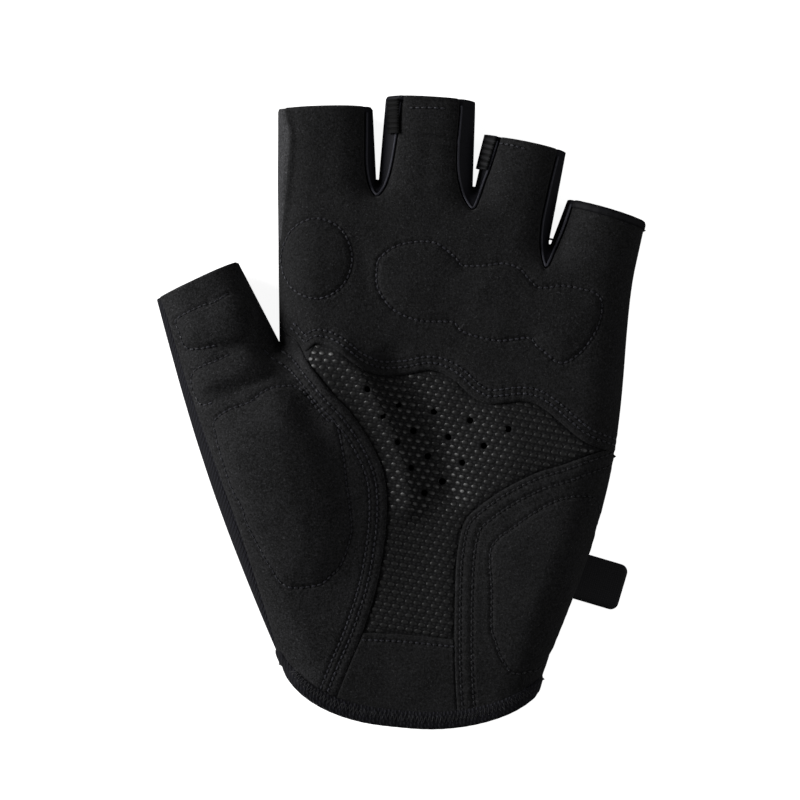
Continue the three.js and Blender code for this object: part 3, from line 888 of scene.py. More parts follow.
class SheetMaker:
    """Cuts sheets out of a fine plan grid and lays them on the glove's form."""

    seam_gap = 0.12
    snap_cells = 1.8
    outline_gap = 0.02
    spoiled_share = 0.01
    weld = 0.03
    lowest = 0.02

    def __init__(self, keep: list, drop: list = (), cell: float = 0.42, face: Face = Face.PALM,
                 holes: list = (), margin: float = 0.0) -> None:
        """Stores the cut.

        Args:
            keep: Loops that the sheet lies inside, the glove's outline apart.
            drop: Loops that are cut away.
            cell: Grid step in millimetres.
            face: Which face of the glove the sheet covers.
            holes: Small loops cut out of the sheet.
            margin: How far it stays from the glove's outline.
        """
        self.margin = margin
        self.keep = [FORM.outline] + list(keep)
        self.drop = list(drop) + list(holes)
        self.cell = cell
        self.face = face

    def inside(self, points: np.ndarray) -> np.ndarray:
        """Tells which plan points belong to the sheet."""
        kept = np.ones(len(points), bool)
        for loop in self.keep:
            kept &= loop.holds(points)
        for loop in self.drop:
            kept &= ~loop.holds(points)
        if self.margin:
            kept &= FORM.outline.measure(points).away > self.margin
        return kept

    def extent(self) -> tuple[np.ndarray, np.ndarray]:
        """Finds the plan box that the sheet may fill."""
        low = np.max([loop.points.min(axis=0) for loop in self.keep], axis=0)
        high = np.min([loop.points.max(axis=0) for loop in self.keep], axis=0)
        return low - 1.0, high + 1.0

    def flat(self) -> bmesh.types.BMesh:
        """Cuts the flat sheet.

        Returns:
            The sheet on the plan, in millimetres.
        """
        low, high = self.extent()
        size = high - low
        counts = [max(2, int(math.ceil(s / self.cell))) for s in size]
        mesh = bmesh.new()
        bmesh.ops.create_grid(mesh, x_segments=counts[0], y_segments=counts[1], size=0.5)
        place = Matrix.Translation(Vector((*(low + high) / 2, 0.0)))
        bmesh.ops.transform(mesh, matrix=place @ Matrix.Diagonal((*size, 1.0, 1.0)),
                            verts=mesh.verts)
        points = FORM.hug_sides(np.array([v.co[:2] for v in mesh.verts]))
        held = self.inside(points)
        mesh.verts.ensure_lookup_table()
        lost = [face for face in mesh.faces if not all(held[v.index] for v in face.verts)]
        for vert, point in zip(mesh.verts, points):
            vert.co = (point[0], point[1], 0.0)
        remove_faces(mesh, lost)
        self.snap(mesh)
        mesh.normal_update()
        least = self.spoiled_share * self.cell ** 2
        spoiled = [face for face in mesh.faces if face.normal.z < 0 or face.calc_area() < least]
        remove_faces(mesh, spoiled)
        return mesh

    def snap(self, mesh: bmesh.types.BMesh) -> None:
        """Moves the sheet's ragged border onto the lines that it was cut to."""
        border = [v for v in mesh.verts if v.is_boundary]
        points = np.array([v.co[:2] for v in border])
        best, foot = nearest(self.keep + self.drop, points)
        on_outline = self.keep[0].measure(foot).away < self.outline_gap
        near = best < (self.cell * self.snap_cells if self.margin else FAR)
        for vert, point, outer, close in zip(border, foot, on_outline, near):
            if not close:
                continue
            centres = [face.calc_center_median() for face in vert.link_faces]
            middle = sum(centres, Vector()) / len(centres)
            inward = Vector((middle.x - point[0], middle.y - point[1], 0.0))
            inset = 0.0 if outer or inward.length < 1e-6 else self.seam_gap
            vert.co = Vector((point[0], point[1], 0.0)) + inward.normalized() * inset

    def formed(self) -> bmesh.types.BMesh:
        """Lays the flat sheet on the glove's form.

        Returns:
            The sheet in space, in millimetres, without relief.
        """
        mesh = self.flat()
        points = np.array([v.co[:2] for v in mesh.verts])
        front = FORM.palm_height(points)
        back = FORM.back_height(points)
        if self.face is Face.BOTH:
            originals = list(mesh.verts)
            copied = bmesh.ops.duplicate(mesh, geom=mesh.verts[:] + mesh.edges[:] + mesh.faces[:])
            mirror = copied["vert_map"]
            backs = [item for item in copied["geom"] if isinstance(item, bmesh.types.BMFace)]
            bmesh.ops.reverse_faces(mesh, faces=backs)
            for vert, high, low in zip(originals, front, back):
                vert.co.z = high
                mirror[vert].co.z = low
            bmesh.ops.remove_doubles(mesh, verts=mesh.verts, dist=self.weld)
        else:
            heights = front if self.face is Face.PALM else back
            for vert, height in zip(mesh.verts, heights):
                vert.co.z = height
            if self.face is Face.BACK:
                bmesh.ops.reverse_faces(mesh, faces=mesh.faces[:])
        mesh.normal_update()
        return mesh

    def build(self, relief: Relief) -> bmesh.types.BMesh:
        """Makes the finished sheet.

        Args:
            relief: Low relief pushed out along the surface.

        Returns:
            The sheet in millimetres.
        """
        mesh = self.formed()
        points = np.array([v.co[:2] for v in mesh.verts])
        rises = relief.height(points)
        normals = [v.normal.copy() for v in mesh.verts]
        for vert, normal, rise in zip(mesh.verts, normals, rises):
            vert.co = vert.co + normal * float(rise)
            vert.co.z = max(vert.co.z, self.lowest)
        return mesh


class Piece:
    """Turns finished meshes into pieces of the part."""

    least_sheet = 0.01
    spare = 1.1

    @staticmethod
    def finish(name: str, mesh: bmesh.types.BMesh, material: bpy.types.Material, slot: str,
               nodes: list, wall: float = 0.0, offset: float = -1.0) -> bpy.types.Object:
        """Makes an object from a mesh in millimetres.

        Args:
            name: The piece's name.
            mesh: Its mesh, freed afterwards.
            material: Its finish.
            slot: Not used.
            nodes: Solid model nodes that it stands for.
            wall: Thickness given to a sheet, in millimetres.
            offset: Which way the thickness grows, -1 for inwards.

        Returns:
            The object, riding on the part's one body.
        """
        bmesh.ops.scale(mesh, vec=(MM, MM, MM), verts=mesh.verts)
        for face in mesh.faces:
            face.smooth = True
        data = bpy.data.meshes.new(name)
        mesh.to_mesh(data)
        mesh.free()
        data.materials.append(material)
        piece = bpy.data.objects.new(name, data)
        bpy.context.scene.collection.objects.link(piece)
        if wall:
            solidify = piece.modifiers.new("wall", "SOLIDIFY")
            solidify.thickness = wall * MM
            solidify.offset = offset
        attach(piece, "root")
        if nodes:
            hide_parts(*nodes)
        LOG.info("%s: %d faces", name, len(data.polygons))
        return piece

    @staticmethod
    def flat_area(piece: bpy.types.Object) -> float:
        """Adds up a sheet's own area in square metres."""
        return float(sum(p.area for p in piece.data.polygons))

    @staticmethod
    def declare_sheet(piece: bpy.types.Object, held: str = "stretched") -> None:
        """Works out a sheet's own area and does nothing more with it.

        Args:
            piece: The sheet.
            held: Not used.
        """
        area = Piece.flat_area(piece)


class Nodes:
    """Small helper that wires a material's nodes."""

    def __init__(self, name: str) -> None:
        """Starts an empty node material."""
        self.material = bpy.data.materials.new(name)
        self.material.use_nodes = True
        self.tree = self.material.node_tree
        self.tree.nodes.clear()
        self.output = self.add("ShaderNodeOutputMaterial")
        self.coords = self.add("ShaderNodeTexCoord").outputs["Object"]

    def add(self, kind: str, **settings: object) -> bpy.types.Node:
        """Adds a node with its settings.

        Args:
            kind: The node's type.
            **settings: Properties to set on it.

        Returns:
            The node.
        """
        node = self.tree.nodes.new(kind)
        for key, value in settings.items():
            setattr(node, key, value)
        return node

    def fed(self, kind: str, values: dict, **settings: object) -> bpy.types.Node:
        """Adds a node whose inputs are fed with numbers or other nodes' outputs.

        Args:
            kind: The node's type.
            values: Number, tuple or output for each named input.
            **settings: Properties to set on it.

        Returns:
            The node.
        """
        node = self.add(kind, **settings)
        for name, value in values.items():
            if isinstance(value, Socket):
                self.link(value, node.inputs[name])
            else:
                node.inputs[name].default_value = value
        return node

    def link(self, source: Socket, target: Socket) -> None:
        """Joins an output to an input."""
        self.tree.links.new(source, target)

    def turned(self, turn: float) -> Socket:
        """Gives object coordinates turned about the vertical by some degrees."""
        spin = (0.0, 0.0, math.radians(turn))
        values = {"Rotation": spin, "Vector": self.coords}
        return self.fed("ShaderNodeMapping", values).outputs["Vector"]

    def noise(self, scale: float, detail: float, rough: float) -> Socket:
        """Adds a noise texture and gives its value."""
        values = {"Scale": scale, "Detail": detail, "Roughness": rough, "Vector": self.coords}
        return self.fed("ShaderNodeTexNoise", values).outputs["Fac"]

    def wave(self, scale: float, distortion: float, vector: Socket, direction: str) -> Socket:
        """Adds a band wave texture and gives its value.

        Args:
            scale: How close the bands are.
            distortion: How far they waver.
            vector: Coordinates that they follow.
            direction: Axis that they follow.

        Returns:
            The texture's value.
        """
        values = {"Scale": scale, "Distortion": distortion, "Vector": vector}
        node = self.fed("ShaderNodeTexWave", values, wave_type="BANDS", bands_direction=direction)
        return node.outputs["Fac"]

    def sums(self, operation: str, first: Socket, second: Socket | float) -> Socket:
        """Combines two values with a maths node."""
        values = {0: first, 1: second}
        return self.fed("ShaderNodeMath", values, operation=operation).outputs["Value"]

    def blend(self, *parts: tuple) -> Socket:
        """Adds values up.

        Args:
            *parts: Each value with its share.

        Returns:
            The weighted sum.
        """
        total, *others = [self.sums("MULTIPLY", value, share) for value, share in parts]
        for part in others:
            total = self.sums("ADD", total, part)
        return total

    def ramp(self, value: Socket, low: float, high: float, dark: tuple, light: tuple) -> Socket:
        """Maps a value to colours between two greys.

        Args:
            value: The value.
            low: Where the dark grey ends.
            high: Where the light grey starts.
            dark: The dark grey.
            light: The light grey.

        Returns:
            The colour.
        """
        node = self.fed("ShaderNodeValToRGB", {"Fac": value})
        for stop, place, colour in zip(node.color_ramp.elements, (low, high), (dark, light)):
            stop.position = place
            stop.color = (*colour, 1.0)
        return node.outputs["Color"]

    def bumped(self, height: Socket, strength: float, depth: float,
               under: Socket | None = None) -> Socket:
        """Adds a bump node.

        Args:
            height: The bumps' height.
            strength: Their strength.
            depth: Their depth in metres.
            under: Normal that they lie on.

        Returns:
            The bumped normal.
        """
        values = {"Strength": strength, "Distance": depth, "Height": height}
        if under is not None:
            values["Normal"] = under
        return self.fed("ShaderNodeBump", values).outputs["Normal"]

    def surface(self, colour: Socket, normal: Socket, roughness: float, specular: float,
                sheen: float = 0.0, sheen_roughness: float = 0.5) -> bpy.types.Material:
        """Ends the material with its shader.

        Args:
            colour: Colour output.
            normal: Normal output.
            roughness: Surface roughness.
            specular: Specular level.
            sheen: Weight of the fibres' sheen.
            sheen_roughness: Spread of that sheen.

        Returns:
            The finished material.
        """
        shader = self.fed("ShaderNodeBsdfPrincipled", {
            "Base Color": colour, "Normal": normal, "Roughness": roughness,
            "Specular IOR Level": specular, "Sheen Weight": sheen,
            "Sheen Roughness": sheen_roughness,
        })
        self.link(shader.outputs["BSDF"], self.output.inputs["Surface"])
        return self.material


def grey(value: float, blue: float = 0.0) -> tuple[float, float, float]:
    """Gives a linear grey with a little more blue."""
    return (value, value, value * (1.0 + blue))


@dataclass(frozen=True)
class Suede:
    """Fine synthetic suede with a short nap."""

    name: str = "black_suede"
    dark: float = 0.001
    light: float = 0.0235
    blue: float = 0.07
    sheen: float = 0.05

    def build(self) -> bpy.types.Material:
        """Builds the suede's material."""
        nodes = Nodes(self.name)
        nap = nodes.noise(2600.0, 2.0, 0.7)
        tufts = nodes.noise(1500.0, 2.0, 0.65)
        cloud = nodes.noise(90.0, 3.0, 0.55)
        flecks = nodes.sums("GREATER_THAN", nodes.noise(1700.0, 1.0, 0.5), 0.69)
        mixed = nodes.blend((nap, 0.5), (tufts, 0.38), (cloud, 0.12), (flecks, 0.22))
        colour = nodes.ramp(mixed, 0.4, 0.85, grey(self.dark, self.blue),
                            grey(self.light * 2, self.blue))
        normal = nodes.bumped(tufts, 0.5, 0.00045)
        normal = nodes.bumped(nap, 0.5, 0.0002, normal)
        return nodes.surface(colour, normal, 0.86, 0.24, self.sheen, 0.45)


@dataclass(frozen=True)
class Knit:
    """Fine ribbed knit that follows a direction."""

    name: str = "blue_black_knit"
    turn: float = 0.0
    dark: float = 0.007
    light: float = 0.05
    blue: float = 0.22

    def build(self) -> bpy.types.Material:
        """Builds the knit's material."""
        nodes = Nodes(self.name)
        lay = nodes.turned(self.turn)
        wales = nodes.wave(330.0, 1.2, lay, "X")
        courses = nodes.wave(420.0, 1.5, lay, "DIAGONAL")
        loops = nodes.sums("MULTIPLY", wales, courses)
        fuzz = nodes.noise(1500.0, 2.0, 0.6)
        mixed = nodes.blend((loops, 0.75), (fuzz, 0.3))
        colour = nodes.ramp(mixed, 0.1, 0.95, grey(self.dark, self.blue),
                            grey(self.light, self.blue))
        normal = nodes.bumped(loops, 0.7, 0.0004)
        normal = nodes.bumped(fuzz, 0.3, 0.0001, normal)
        return nodes.surface(colour, normal, 0.75, 0.2, 0.08, 0.4)


@dataclass(frozen=True)
class Stretch:
    """Smooth stretch cloth of the inserts and edgings."""

    name: str = "smooth_stretch"
    dark: float = 0.006
    light: float = 0.017
    blue: float = 0.35

    def build(self) -> bpy.types.Material:
        """Builds the stretch cloth's material."""
        nodes = Nodes(self.name)
        ribs = nodes.wave(900.0, 0.6, nodes.coords, "X")
        fine = nodes.noise(1800.0, 2.0, 0.6)
        mixed = nodes.blend((ribs, 0.35), (fine, 0.65))
        colour = nodes.ramp(mixed, 0.25, 0.8, grey(self.dark, self.blue),
                            grey(self.light, self.blue))
        normal = nodes.bumped(mixed, 0.35, 0.00012)
        return nodes.surface(colour, normal, 0.68, 0.16)


@dataclass(frozen=True)
class GripCloth:
    """Close mesh cloth between the grip dots."""

    name: str = "grip_cloth"
    dark: float = 0.007
    light: float = 0.027
    blue: float = 0.05

    def build(self) -> bpy.types.Material:
        """Builds the grip cloth's material."""
        nodes = Nodes(self.name)
        lay = nodes.turned(11.0)
        across = nodes.wave(260.0, 0.8, lay, "X")
        along = nodes.wave(330.0, 0.8, lay, "Y")
        cells = nodes.sums("MULTIPLY", across, along)
        fuzz = nodes.noise(2000.0, 2.0, 0.6)
        mixed = nodes.blend((cells, 0.7), (fuzz, 0.35))
        colour = nodes.ramp(mixed, 0.1, 0.9, grey(self.dark, self.blue),
                            grey(self.light, self.blue))
        normal = nodes.bumped(cells, 0.35, 0.0002)
        normal = nodes.bumped(fuzz, 0.3, 0.0001, normal)
        return nodes.surface(colour, normal, 0.8, 0.15)


@dataclass(frozen=True)
class Rubber:
    """Glossy silicone of the grip dots."""

    name: str = "grip_silicone"
    colour: float = 0.019

    def build(self) -> bpy.types.Material:
        """Builds the silicone's material."""
        nodes = Nodes(self.name)
        film = nodes.noise(800.0, 2.0, 0.5)
        colour = nodes.ramp(film, 0.3, 0.7, grey(self.colour * 0.7), grey(self.colour * 1.3))
        normal = nodes.bumped(film, 0.2, 0.0001)
        return nodes.surface(colour, normal, 0.4, 0.45)


@dataclass(frozen=True)
class Thread:
    """Black sewing thread with a slight shine."""

    name: str = "sewing_thread"
    dark: float = 0.007
    light: float = 0.05

    def build(self) -> bpy.types.Material:
        """Builds the thread's material."""
        nodes = Nodes(self.name)
        twist = nodes.wave(1500.0, 1.0, nodes.coords, "DIAGONAL")
        worn = nodes.noise(420.0, 2.0, 0.6)
        mixed = nodes.blend((twist, 0.3), (worn, 0.7))
        colour = nodes.ramp(mixed, 0.3, 0.75, grey(self.dark, 0.35), grey(self.light, 0.35))
        normal = nodes.bumped(twist, 0.5, 0.00012)
        return nodes.surface(colour, normal, 0.42, 0.5, 0.1, 0.4)


@dataclass(frozen=True)
class Grosgrain:
    """Ribbed tape of the pull loops."""

    name: str = "ribbed_tape"
    turn: float = 0.0
    dark: float = 0.001
    light: float = 0.006

    def build(self) -> bpy.types.Material:
        """Builds the tape's material."""
        nodes = Nodes(self.name)
        lay = nodes.turned(self.turn)
        ribs = nodes.wave(190.0, 0.3, lay, "Y")
        fine = nodes.noise(1800.0, 2.0, 0.6)
        mixed = nodes.blend((ribs, 0.75), (fine, 0.25))
        colour = nodes.ramp(mixed, 0.15, 0.85, grey(self.dark, 0.06), grey(self.light, 0.06))
        normal = nodes.bumped(mixed, 0.6, 0.00025)
        return nodes.surface(colour, normal, 0.7, 0.12, 0.02, 0.4)


@dataclass(frozen=True)
class StrapCloth:
    """Smooth laminated cloth of the wrist strap."""

    name: str = "strap_cloth"
    dark: float = 0.007
    light: float = 0.021

    def build(self) -> bpy.types.Material:
        """Builds the strap's material."""
        nodes = Nodes(self.name)
        lay = nodes.turned(16.5)
        weave = nodes.sums("MULTIPLY", nodes.wave(520.0, 0.3, lay, "X"),
                           nodes.wave(520.0, 0.3, lay, "Y"))
        fuzz = nodes.noise(1500.0, 3.0, 0.6)
        mixed = nodes.blend((weave, 0.4), (fuzz, 0.6))
        colour = nodes.ramp(mixed, 0.2, 0.8, grey(self.dark, 0.2), grey(self.light, 0.2))
        normal = nodes.bumped(mixed, 0.3, 0.00015)
        return nodes.surface(colour, normal, 0.62, 0.3, 0.05, 0.4)


def placed(x: Vector, y: Vector, z: Vector, origin: Vector) -> Matrix:
    """Gives the matrix of a frame with these axes at an origin."""
    return Matrix((*zip(x, y, z, origin), (0.0, 0.0, 0.0, 1.0)))


class Thimble:
    """Rows of short thread stitches lying in a panel's seams."""

    arch = 0.1
    edge_clear = 0.9
    flatness = 2.4

    def __init__(self, relief: Relief, thick: float = 0.5, rise: float = 0.0) -> None:
        """Stores what the stitches lie on.

        Args:
            relief: The panel's relief.
            thick: The thread's thickness.
            rise: Height of the thread's middle over the cloth.
        """
        self.relief = relief
        self.thick = thick
        self.rise = rise
        self.places = []

    def sew(self, row: StitchRow, maker: SheetMaker, share: float = 0.62) -> None:
        """Lays stitches along a row where it runs over the sheet.

        Args:
            row: The row to follow.
            maker: The sheet that the row is sewn on.
            share: Share of the pitch that a stitch covers.
        """
        step = row.step
        centres = (np.arange(round(row.line.length / step)) + 0.5) * step
        points = row.line.at(centres)[0]
        clear = FORM.outline.measure(points).away > self.edge_clear
        centres = centres[maker.inside(points) & clear]
        if not len(centres):
            return
        reach = step * share / 2
        starts = self.relief.lift(row.line.at(centres - reach)[0], self.rise)
        ends = self.relief.lift(row.line.at(centres + reach)[0], self.rise)
        middles = self.relief.lift(row.line.at(centres)[0], self.rise + self.arch)
        for start, middle, end in zip(starts, middles, ends):
            self.stitch(Vector(start), Vector(middle), Vector(end))

    def stitch(self, start: Vector, middle: Vector, end: Vector) -> None:
        """Adds one stitch between two points."""
        way = (end - start).normalized()
        side = way.cross(Vector((0.0, 0.0, 1.0))).normalized()
        up = side.cross(way)
        span = (end - start).length
        size = Matrix.Diagonal((span / 2 + self.thick / 4, self.thick / 2,
                                self.thick / self.flatness, 1.0))
        turn = placed(way, side, up, middle)
        self.places.append(turn @ size @ Matrix.Rotation(math.pi / 2, 4, "Y"))

    def finish(self, name: str, material: bpy.types.Material, slot: str) -> bpy.types.Object:
        """Makes one piece of all the stitches."""
        shape = bmesh.new()
        bmesh.ops.create_uvsphere(shape, u_segments=6, v_segments=5, radius=1.0)
        return Piece.finish(name, stamped(shape, self.places), material, slot, [])


def stamped(shape: bmesh.types.BMesh, places: list) -> bmesh.types.BMesh:
    """Repeats a small shape at many places.

    Args:
        shape: The shape at the origin, used up.
        places: One matrix for each copy.

    Returns:
        A mesh with every copy.
    """
    master = bpy.data.meshes.new("stamp")
    shape.to_mesh(master)
    shape.free()
    corners = np.array([vert.co[:] + (1.0,) for vert in master.vertices])
    copies = bmesh.new()
    for place in places:
        moved = corners @ np.array(place).T
        master.vertices.foreach_set("co", np.ascontiguousarray(moved[:, :3]).ravel())
        copies.from_mesh(master)
    bpy.data.meshes.remove(master)
    return copies


class Finishes:
    """Every finish that the glove uses, built once."""

    def __init__(self) -> None:
        """Builds the finishes."""
        self.suede = Suede().build()
        # The thumb panel gets a lighter copy of the black suede: painted light where the thenar
        # pad faces the key light.
        self.thumb_suede = Suede("thumb_suede_painted_light", 0.0015, 0.032).build()
        # The index strip's suede is made pale: painted sheen of the finger's side that faces the
        # key light.
        self.sheen_painted_suede = Suede("index_strip_painted_sheen", 0.02, 0.068, 0.06, 0.1).build()
        self.side_knit = Knit("side_knit", 21.0, 0.003, 0.022, 0.5).build()
        self.back_knit = Knit("back_knit", 0.0, 0.004, 0.02).build()
        self.binding_knit = Knit("binding_knit", 8.0, 0.003, 0.016, 0.5).build()
        self.faint_thread = Thread("faint_thread", 0.003, 0.018).build()
        self.stretch = Stretch().build()
        self.piping = Stretch("piping", 0.035, 0.075, 0.25).build()
        self.edge_tape = Stretch("edge_tape", 0.005, 0.016, 0.2).build()
        self.grip = GripCloth().build()
        self.rubber = Rubber().build()
        self.thread = Thread().build()
        self.dark_thread = Thread("binding_thread", 0.003, 0.013).build()
        self.middle_tape = Grosgrain("middle_tape", 3.4).build()
        self.ring_tape = Grosgrain("ring_tape", 24.0, 0.006, 0.03).build()
        self.strap = StrapCloth().build()


class Lines:
    """Lines on the plan that more than one piece follows."""

    palm_pad_top = traced(
        (377.5, 269), (380, 261), (394, 250), (413, 245), (432, 245), (443.5, 251), (455, 261),
        (462, 268), (484, 268), (502, 266), (517, 271), (528, 283), (538, 290), (559, 288),
        (578, 291), (594, 297), (598, 310), (593, 330), (580, 350), (565, 362), (554, 363),
        (545, 356), (533, 346), (526, 339), (498, 342), (476, 338), (460, 332), (453, 324),
        (441, 323), (418, 322), (396, 313), (385, 302), (377.5, 287), closed=True, steps=200,
    )
    index_pad = traced(
        (317.6, 221.4), (342.6, 233), (353, 261), (342.6, 289), (317.6, 300.6), (292.6, 289),
        (282.2, 261), (292.6, 233), closed=True, steps=96,
    )
    thenar_pad = traced(
        (219, 421), (229, 412), (240, 407), (254, 402), (265, 393), (277, 387), (292, 385),
        (301, 387), (310, 395), (320, 408), (331, 420), (338, 423), (345, 451), (349, 488),
        (352, 516), (352, 531), (346, 551), (340, 564), (333, 571), (324, 579), (313, 582),
        (294, 583.5), (282, 577), (274, 564), (266, 551), (251, 521), (246, 505), (235, 484),
        (223, 445), (220, 432), closed=True, steps=220,
    )
    outer_pad = traced(
        (493, 635), (489.5, 623), (489.5, 586), (488, 550), (496, 535), (508, 526), (532, 509),
        (556, 497), (580, 494), (596, 503), (594, 545), (581, 590), (566, 630), (542, 662),
        (525, 667), (510, 667), (499, 652), closed=True, steps=180,
    )
    thumb_tab_field = traced(
        (231, 295), (206, 307), (185, 317), (179, 323), (183, 334), (188, 347), (206, 349),
        (232, 345), (255, 338), (262, 320), (250, 300), closed=True, steps=80,
    )
    low_tab_field = traced(
        (233, 355), (219, 362), (199, 371), (195, 379), (196, 389), (202, 402), (217, 402),
        (245, 390), (272, 375), (274, 358), (256, 350), closed=True, steps=80,
    )
    thumb_tab = traced(
        (231, 295), (217, 304), (206, 307), (195, 312), (185, 317), (179, 323), (183, 334),
        (188, 347), (195, 350), (206, 349), (220, 346), steps=60,
    )
    low_tab = traced(
        (233, 355), (219, 362), (208, 366), (199, 371), (195, 379), (196, 389), (202, 402),
        (208, 405), (217, 402), steps=60,
    )


@dataclass
class SewnPanel:
    """What the palm side's suede panels share: a sheet and its rows of stitches."""

    wall: float = 0.85

    def sewn(self, names: tuple, node: str, maker: SheetMaker, relief: Relief,
             finish: bpy.types.Material, thread: bpy.types.Material) -> list[bpy.types.Object]:
        """Builds the sheet and sews its rows.

        Args:
            names: Names of the sheet and of its stitches.
            node: Solid model node that the sheet stands for.
            maker: Cuts the sheet.
            relief: The sheet's relief.
            finish: The sheet's finish.
            thread: The thread's finish.

        Returns:
            The sheet and the stitches.
        """
        sheet = Piece.finish(names[0], maker.build(relief), finish, "suede", [node], self.wall)
        thimble = Thimble(relief)
        for row in relief.rows:
            thimble.sew(row, maker)
        return [sheet, thimble.finish(names[1], thread, "suede")]


@dataclass
class ThumbPanel(SewnPanel):
    """Suede panel from the thumb down over its padded ball to the wrist."""

    first_row: float = 2.8
    second_row: float = 4.9
    pad_rise: float = 3.3
    pad_shoulder: float = 7.0
    tab_rise: float = 1.9
    tab_shoulder: float = 3.4
    gusset: tuple = (291, 347)
    gusset_reach: float = 6.2
    gusset_wall: float = 0.5

    def relief(self) -> Relief:
        """Describes the panel's seams, pad, finger tabs and creases.

        Returns:
            The relief.
        """
        rows = [
            StitchRow(Seams.thumb.beside(-self.first_row)),
            StitchRow(Seams.thumb.beside(-self.second_row)),
            StitchRow(Lines.thumb_tab), StitchRow(Lines.low_tab), StitchRow(Lines.thenar_pad),
        ]
        pads = [
            Pad(Lines.thenar_pad, self.pad_rise, self.pad_shoulder),
            Pad(Lines.thumb_tab_field, self.tab_rise, self.tab_shoulder),
            Pad(Lines.low_tab_field, self.tab_rise, self.tab_shoulder),
        ]
        return Relief([Seams.thumb], rows, pads)

    def build(self, finishes: Finishes) -> list[bpy.types.Object]:
        """Builds the panel, its stitches and the gusset under the crotch.

        Args:
            finishes: The glove's finishes.

        Returns:
            The pieces.
        """
        maker = SheetMaker([Regions.thumb], [Regions.under_binding, SIDE_STRIP])
        names = ("thumb_suede", "thumb_stitches")
        # The panel wears the lighter suede copy, which is painted light.
        panel, stitches = self.sewn(names, "thumb_panel", maker, self.relief(),
                                    finishes.thumb_suede, finishes.thread)
        round_patch = ring(np.array(pixel(*self.gusset)), self.gusset_reach, 28)
        patch = SheetMaker([round_patch], [], 0.45).build(Relief(outset=-self.gusset_wall))
        gusset = Piece.finish("crotch_gusset", patch, finishes.suede, "suede", [],
                              self.gusset_wall)
        Piece.declare_sheet(gusset)
        return [panel, stitches, gusset]


@dataclass
class UpperPanel(SewnPanel):
    """Suede panel over the knuckles and the four half fingers."""

    first_row: float = 2.24
    second_row: float = 3.9
    pad_rise: float = 1.2
    circle_rise: float = 1.0
    tip_rows: tuple = (
        ((408, 112), (430, 112), (445, 113)),
        ((497, 146), (511, 149), (524, 153)),
        ((569, 206), (605, 217), (640, 228)),
    )
    tip_pitch: float = 1.6
    tip_groove: float = 0.25

    def relief(self) -> Relief:
        """Describes the panel's seams, pads, hems and folds.

        Returns:
            The relief.
        """
        rows = [StitchRow(Seams.upper.beside(self.first_row)),
                StitchRow(Seams.upper.beside(self.second_row))]
        rows += [StitchRow(traced(*row), self.tip_pitch, self.tip_groove) for row in self.tip_rows]
        rows += [StitchRow(Lines.palm_pad_top), StitchRow(Lines.index_pad)]
        ends = [PlanLine([tip.left, tip.right]) for tip in FORM.tips]
        edges = [Seams.upper] + ends + SLOT_REGIONS + [INDEX_STRIP]
        pads = [Pad(Lines.palm_pad_top, self.pad_rise), Pad(Lines.index_pad, self.circle_rise)]
        return Relief(edges, rows, pads)

    def build(self, finishes: Finishes) -> list[bpy.types.Object]:
        """Builds the panel and its stitches.

        Args:
            finishes: The glove's finishes.

        Returns:
            The pieces.
        """
        drop = [Regions.thumb, INDEX_STRIP, UNDER_EDGING] + SLOT_REGIONS
        maker = SheetMaker([Regions.upper], drop)
        names = ("knuckle_suede", "upper_stitches")
        pieces = self.sewn(names, "palm_upper_panel", maker, self.relief(), finishes.suede,
                           finishes.thread)
        return pieces


@dataclass
class OuterPanel(SewnPanel):
    """Suede panel over the outer side of the palm."""

    first_row: float = 1.6
    second_row: float = 4.8
    pad_rise: float = 0.9

    def relief(self) -> Relief:
        """Describes the panel's seams and pad.

        Returns:
            The relief.
        """
        rows = [
            StitchRow(Seams.outer.beside(-self.first_row)),
            StitchRow(Seams.outer.beside(-self.second_row)), StitchRow(Lines.outer_pad),
        ]
        return Relief([Seams.outer], rows, [Pad(Lines.outer_pad, self.pad_rise)])

    def build(self, finishes: Finishes) -> list[bpy.types.Object]:
        """Builds the panel and its stitches.

        Args:
            finishes: The glove's finishes.

        Returns:
            The pieces.
        """
        maker = SheetMaker([Regions.outer], [Regions.under_binding, Regions.upper])
        names = ("outer_suede", "outer_stitches")
        pieces = self.sewn(names, "outer_palm_panel", maker, self.relief(), finishes.suede,
                           finishes.faint_thread)
        return pieces


@dataclass
class HeelPanel(SewnPanel):
    """Suede patch at the heel of the hand, between the two palm panels."""

    wall: float = 1.0
    row: float = 2.0
    sunk: float = 0.15

    def build(self, finishes: Finishes) -> list[bpy.types.Object]:
        """Builds the patch and its stitches.

        Args:
            finishes: The glove's finishes.

        Returns:
            The pieces.
        """
        row = StitchRow(Seams.heel.beside(-self.row))
        relief = Relief([Seams.heel], [row], [], -self.sunk)
        drop = [Regions.thumb, Regions.outer, Regions.under_binding]
        names = ("heel_suede", "heel_stitches")
        pieces = self.sewn(names, "heel_panel", SheetMaker([Regions.heel], drop), relief,
                           finishes.suede, finishes.thread)
        Piece.declare_sheet(pieces[0])
        return pieces


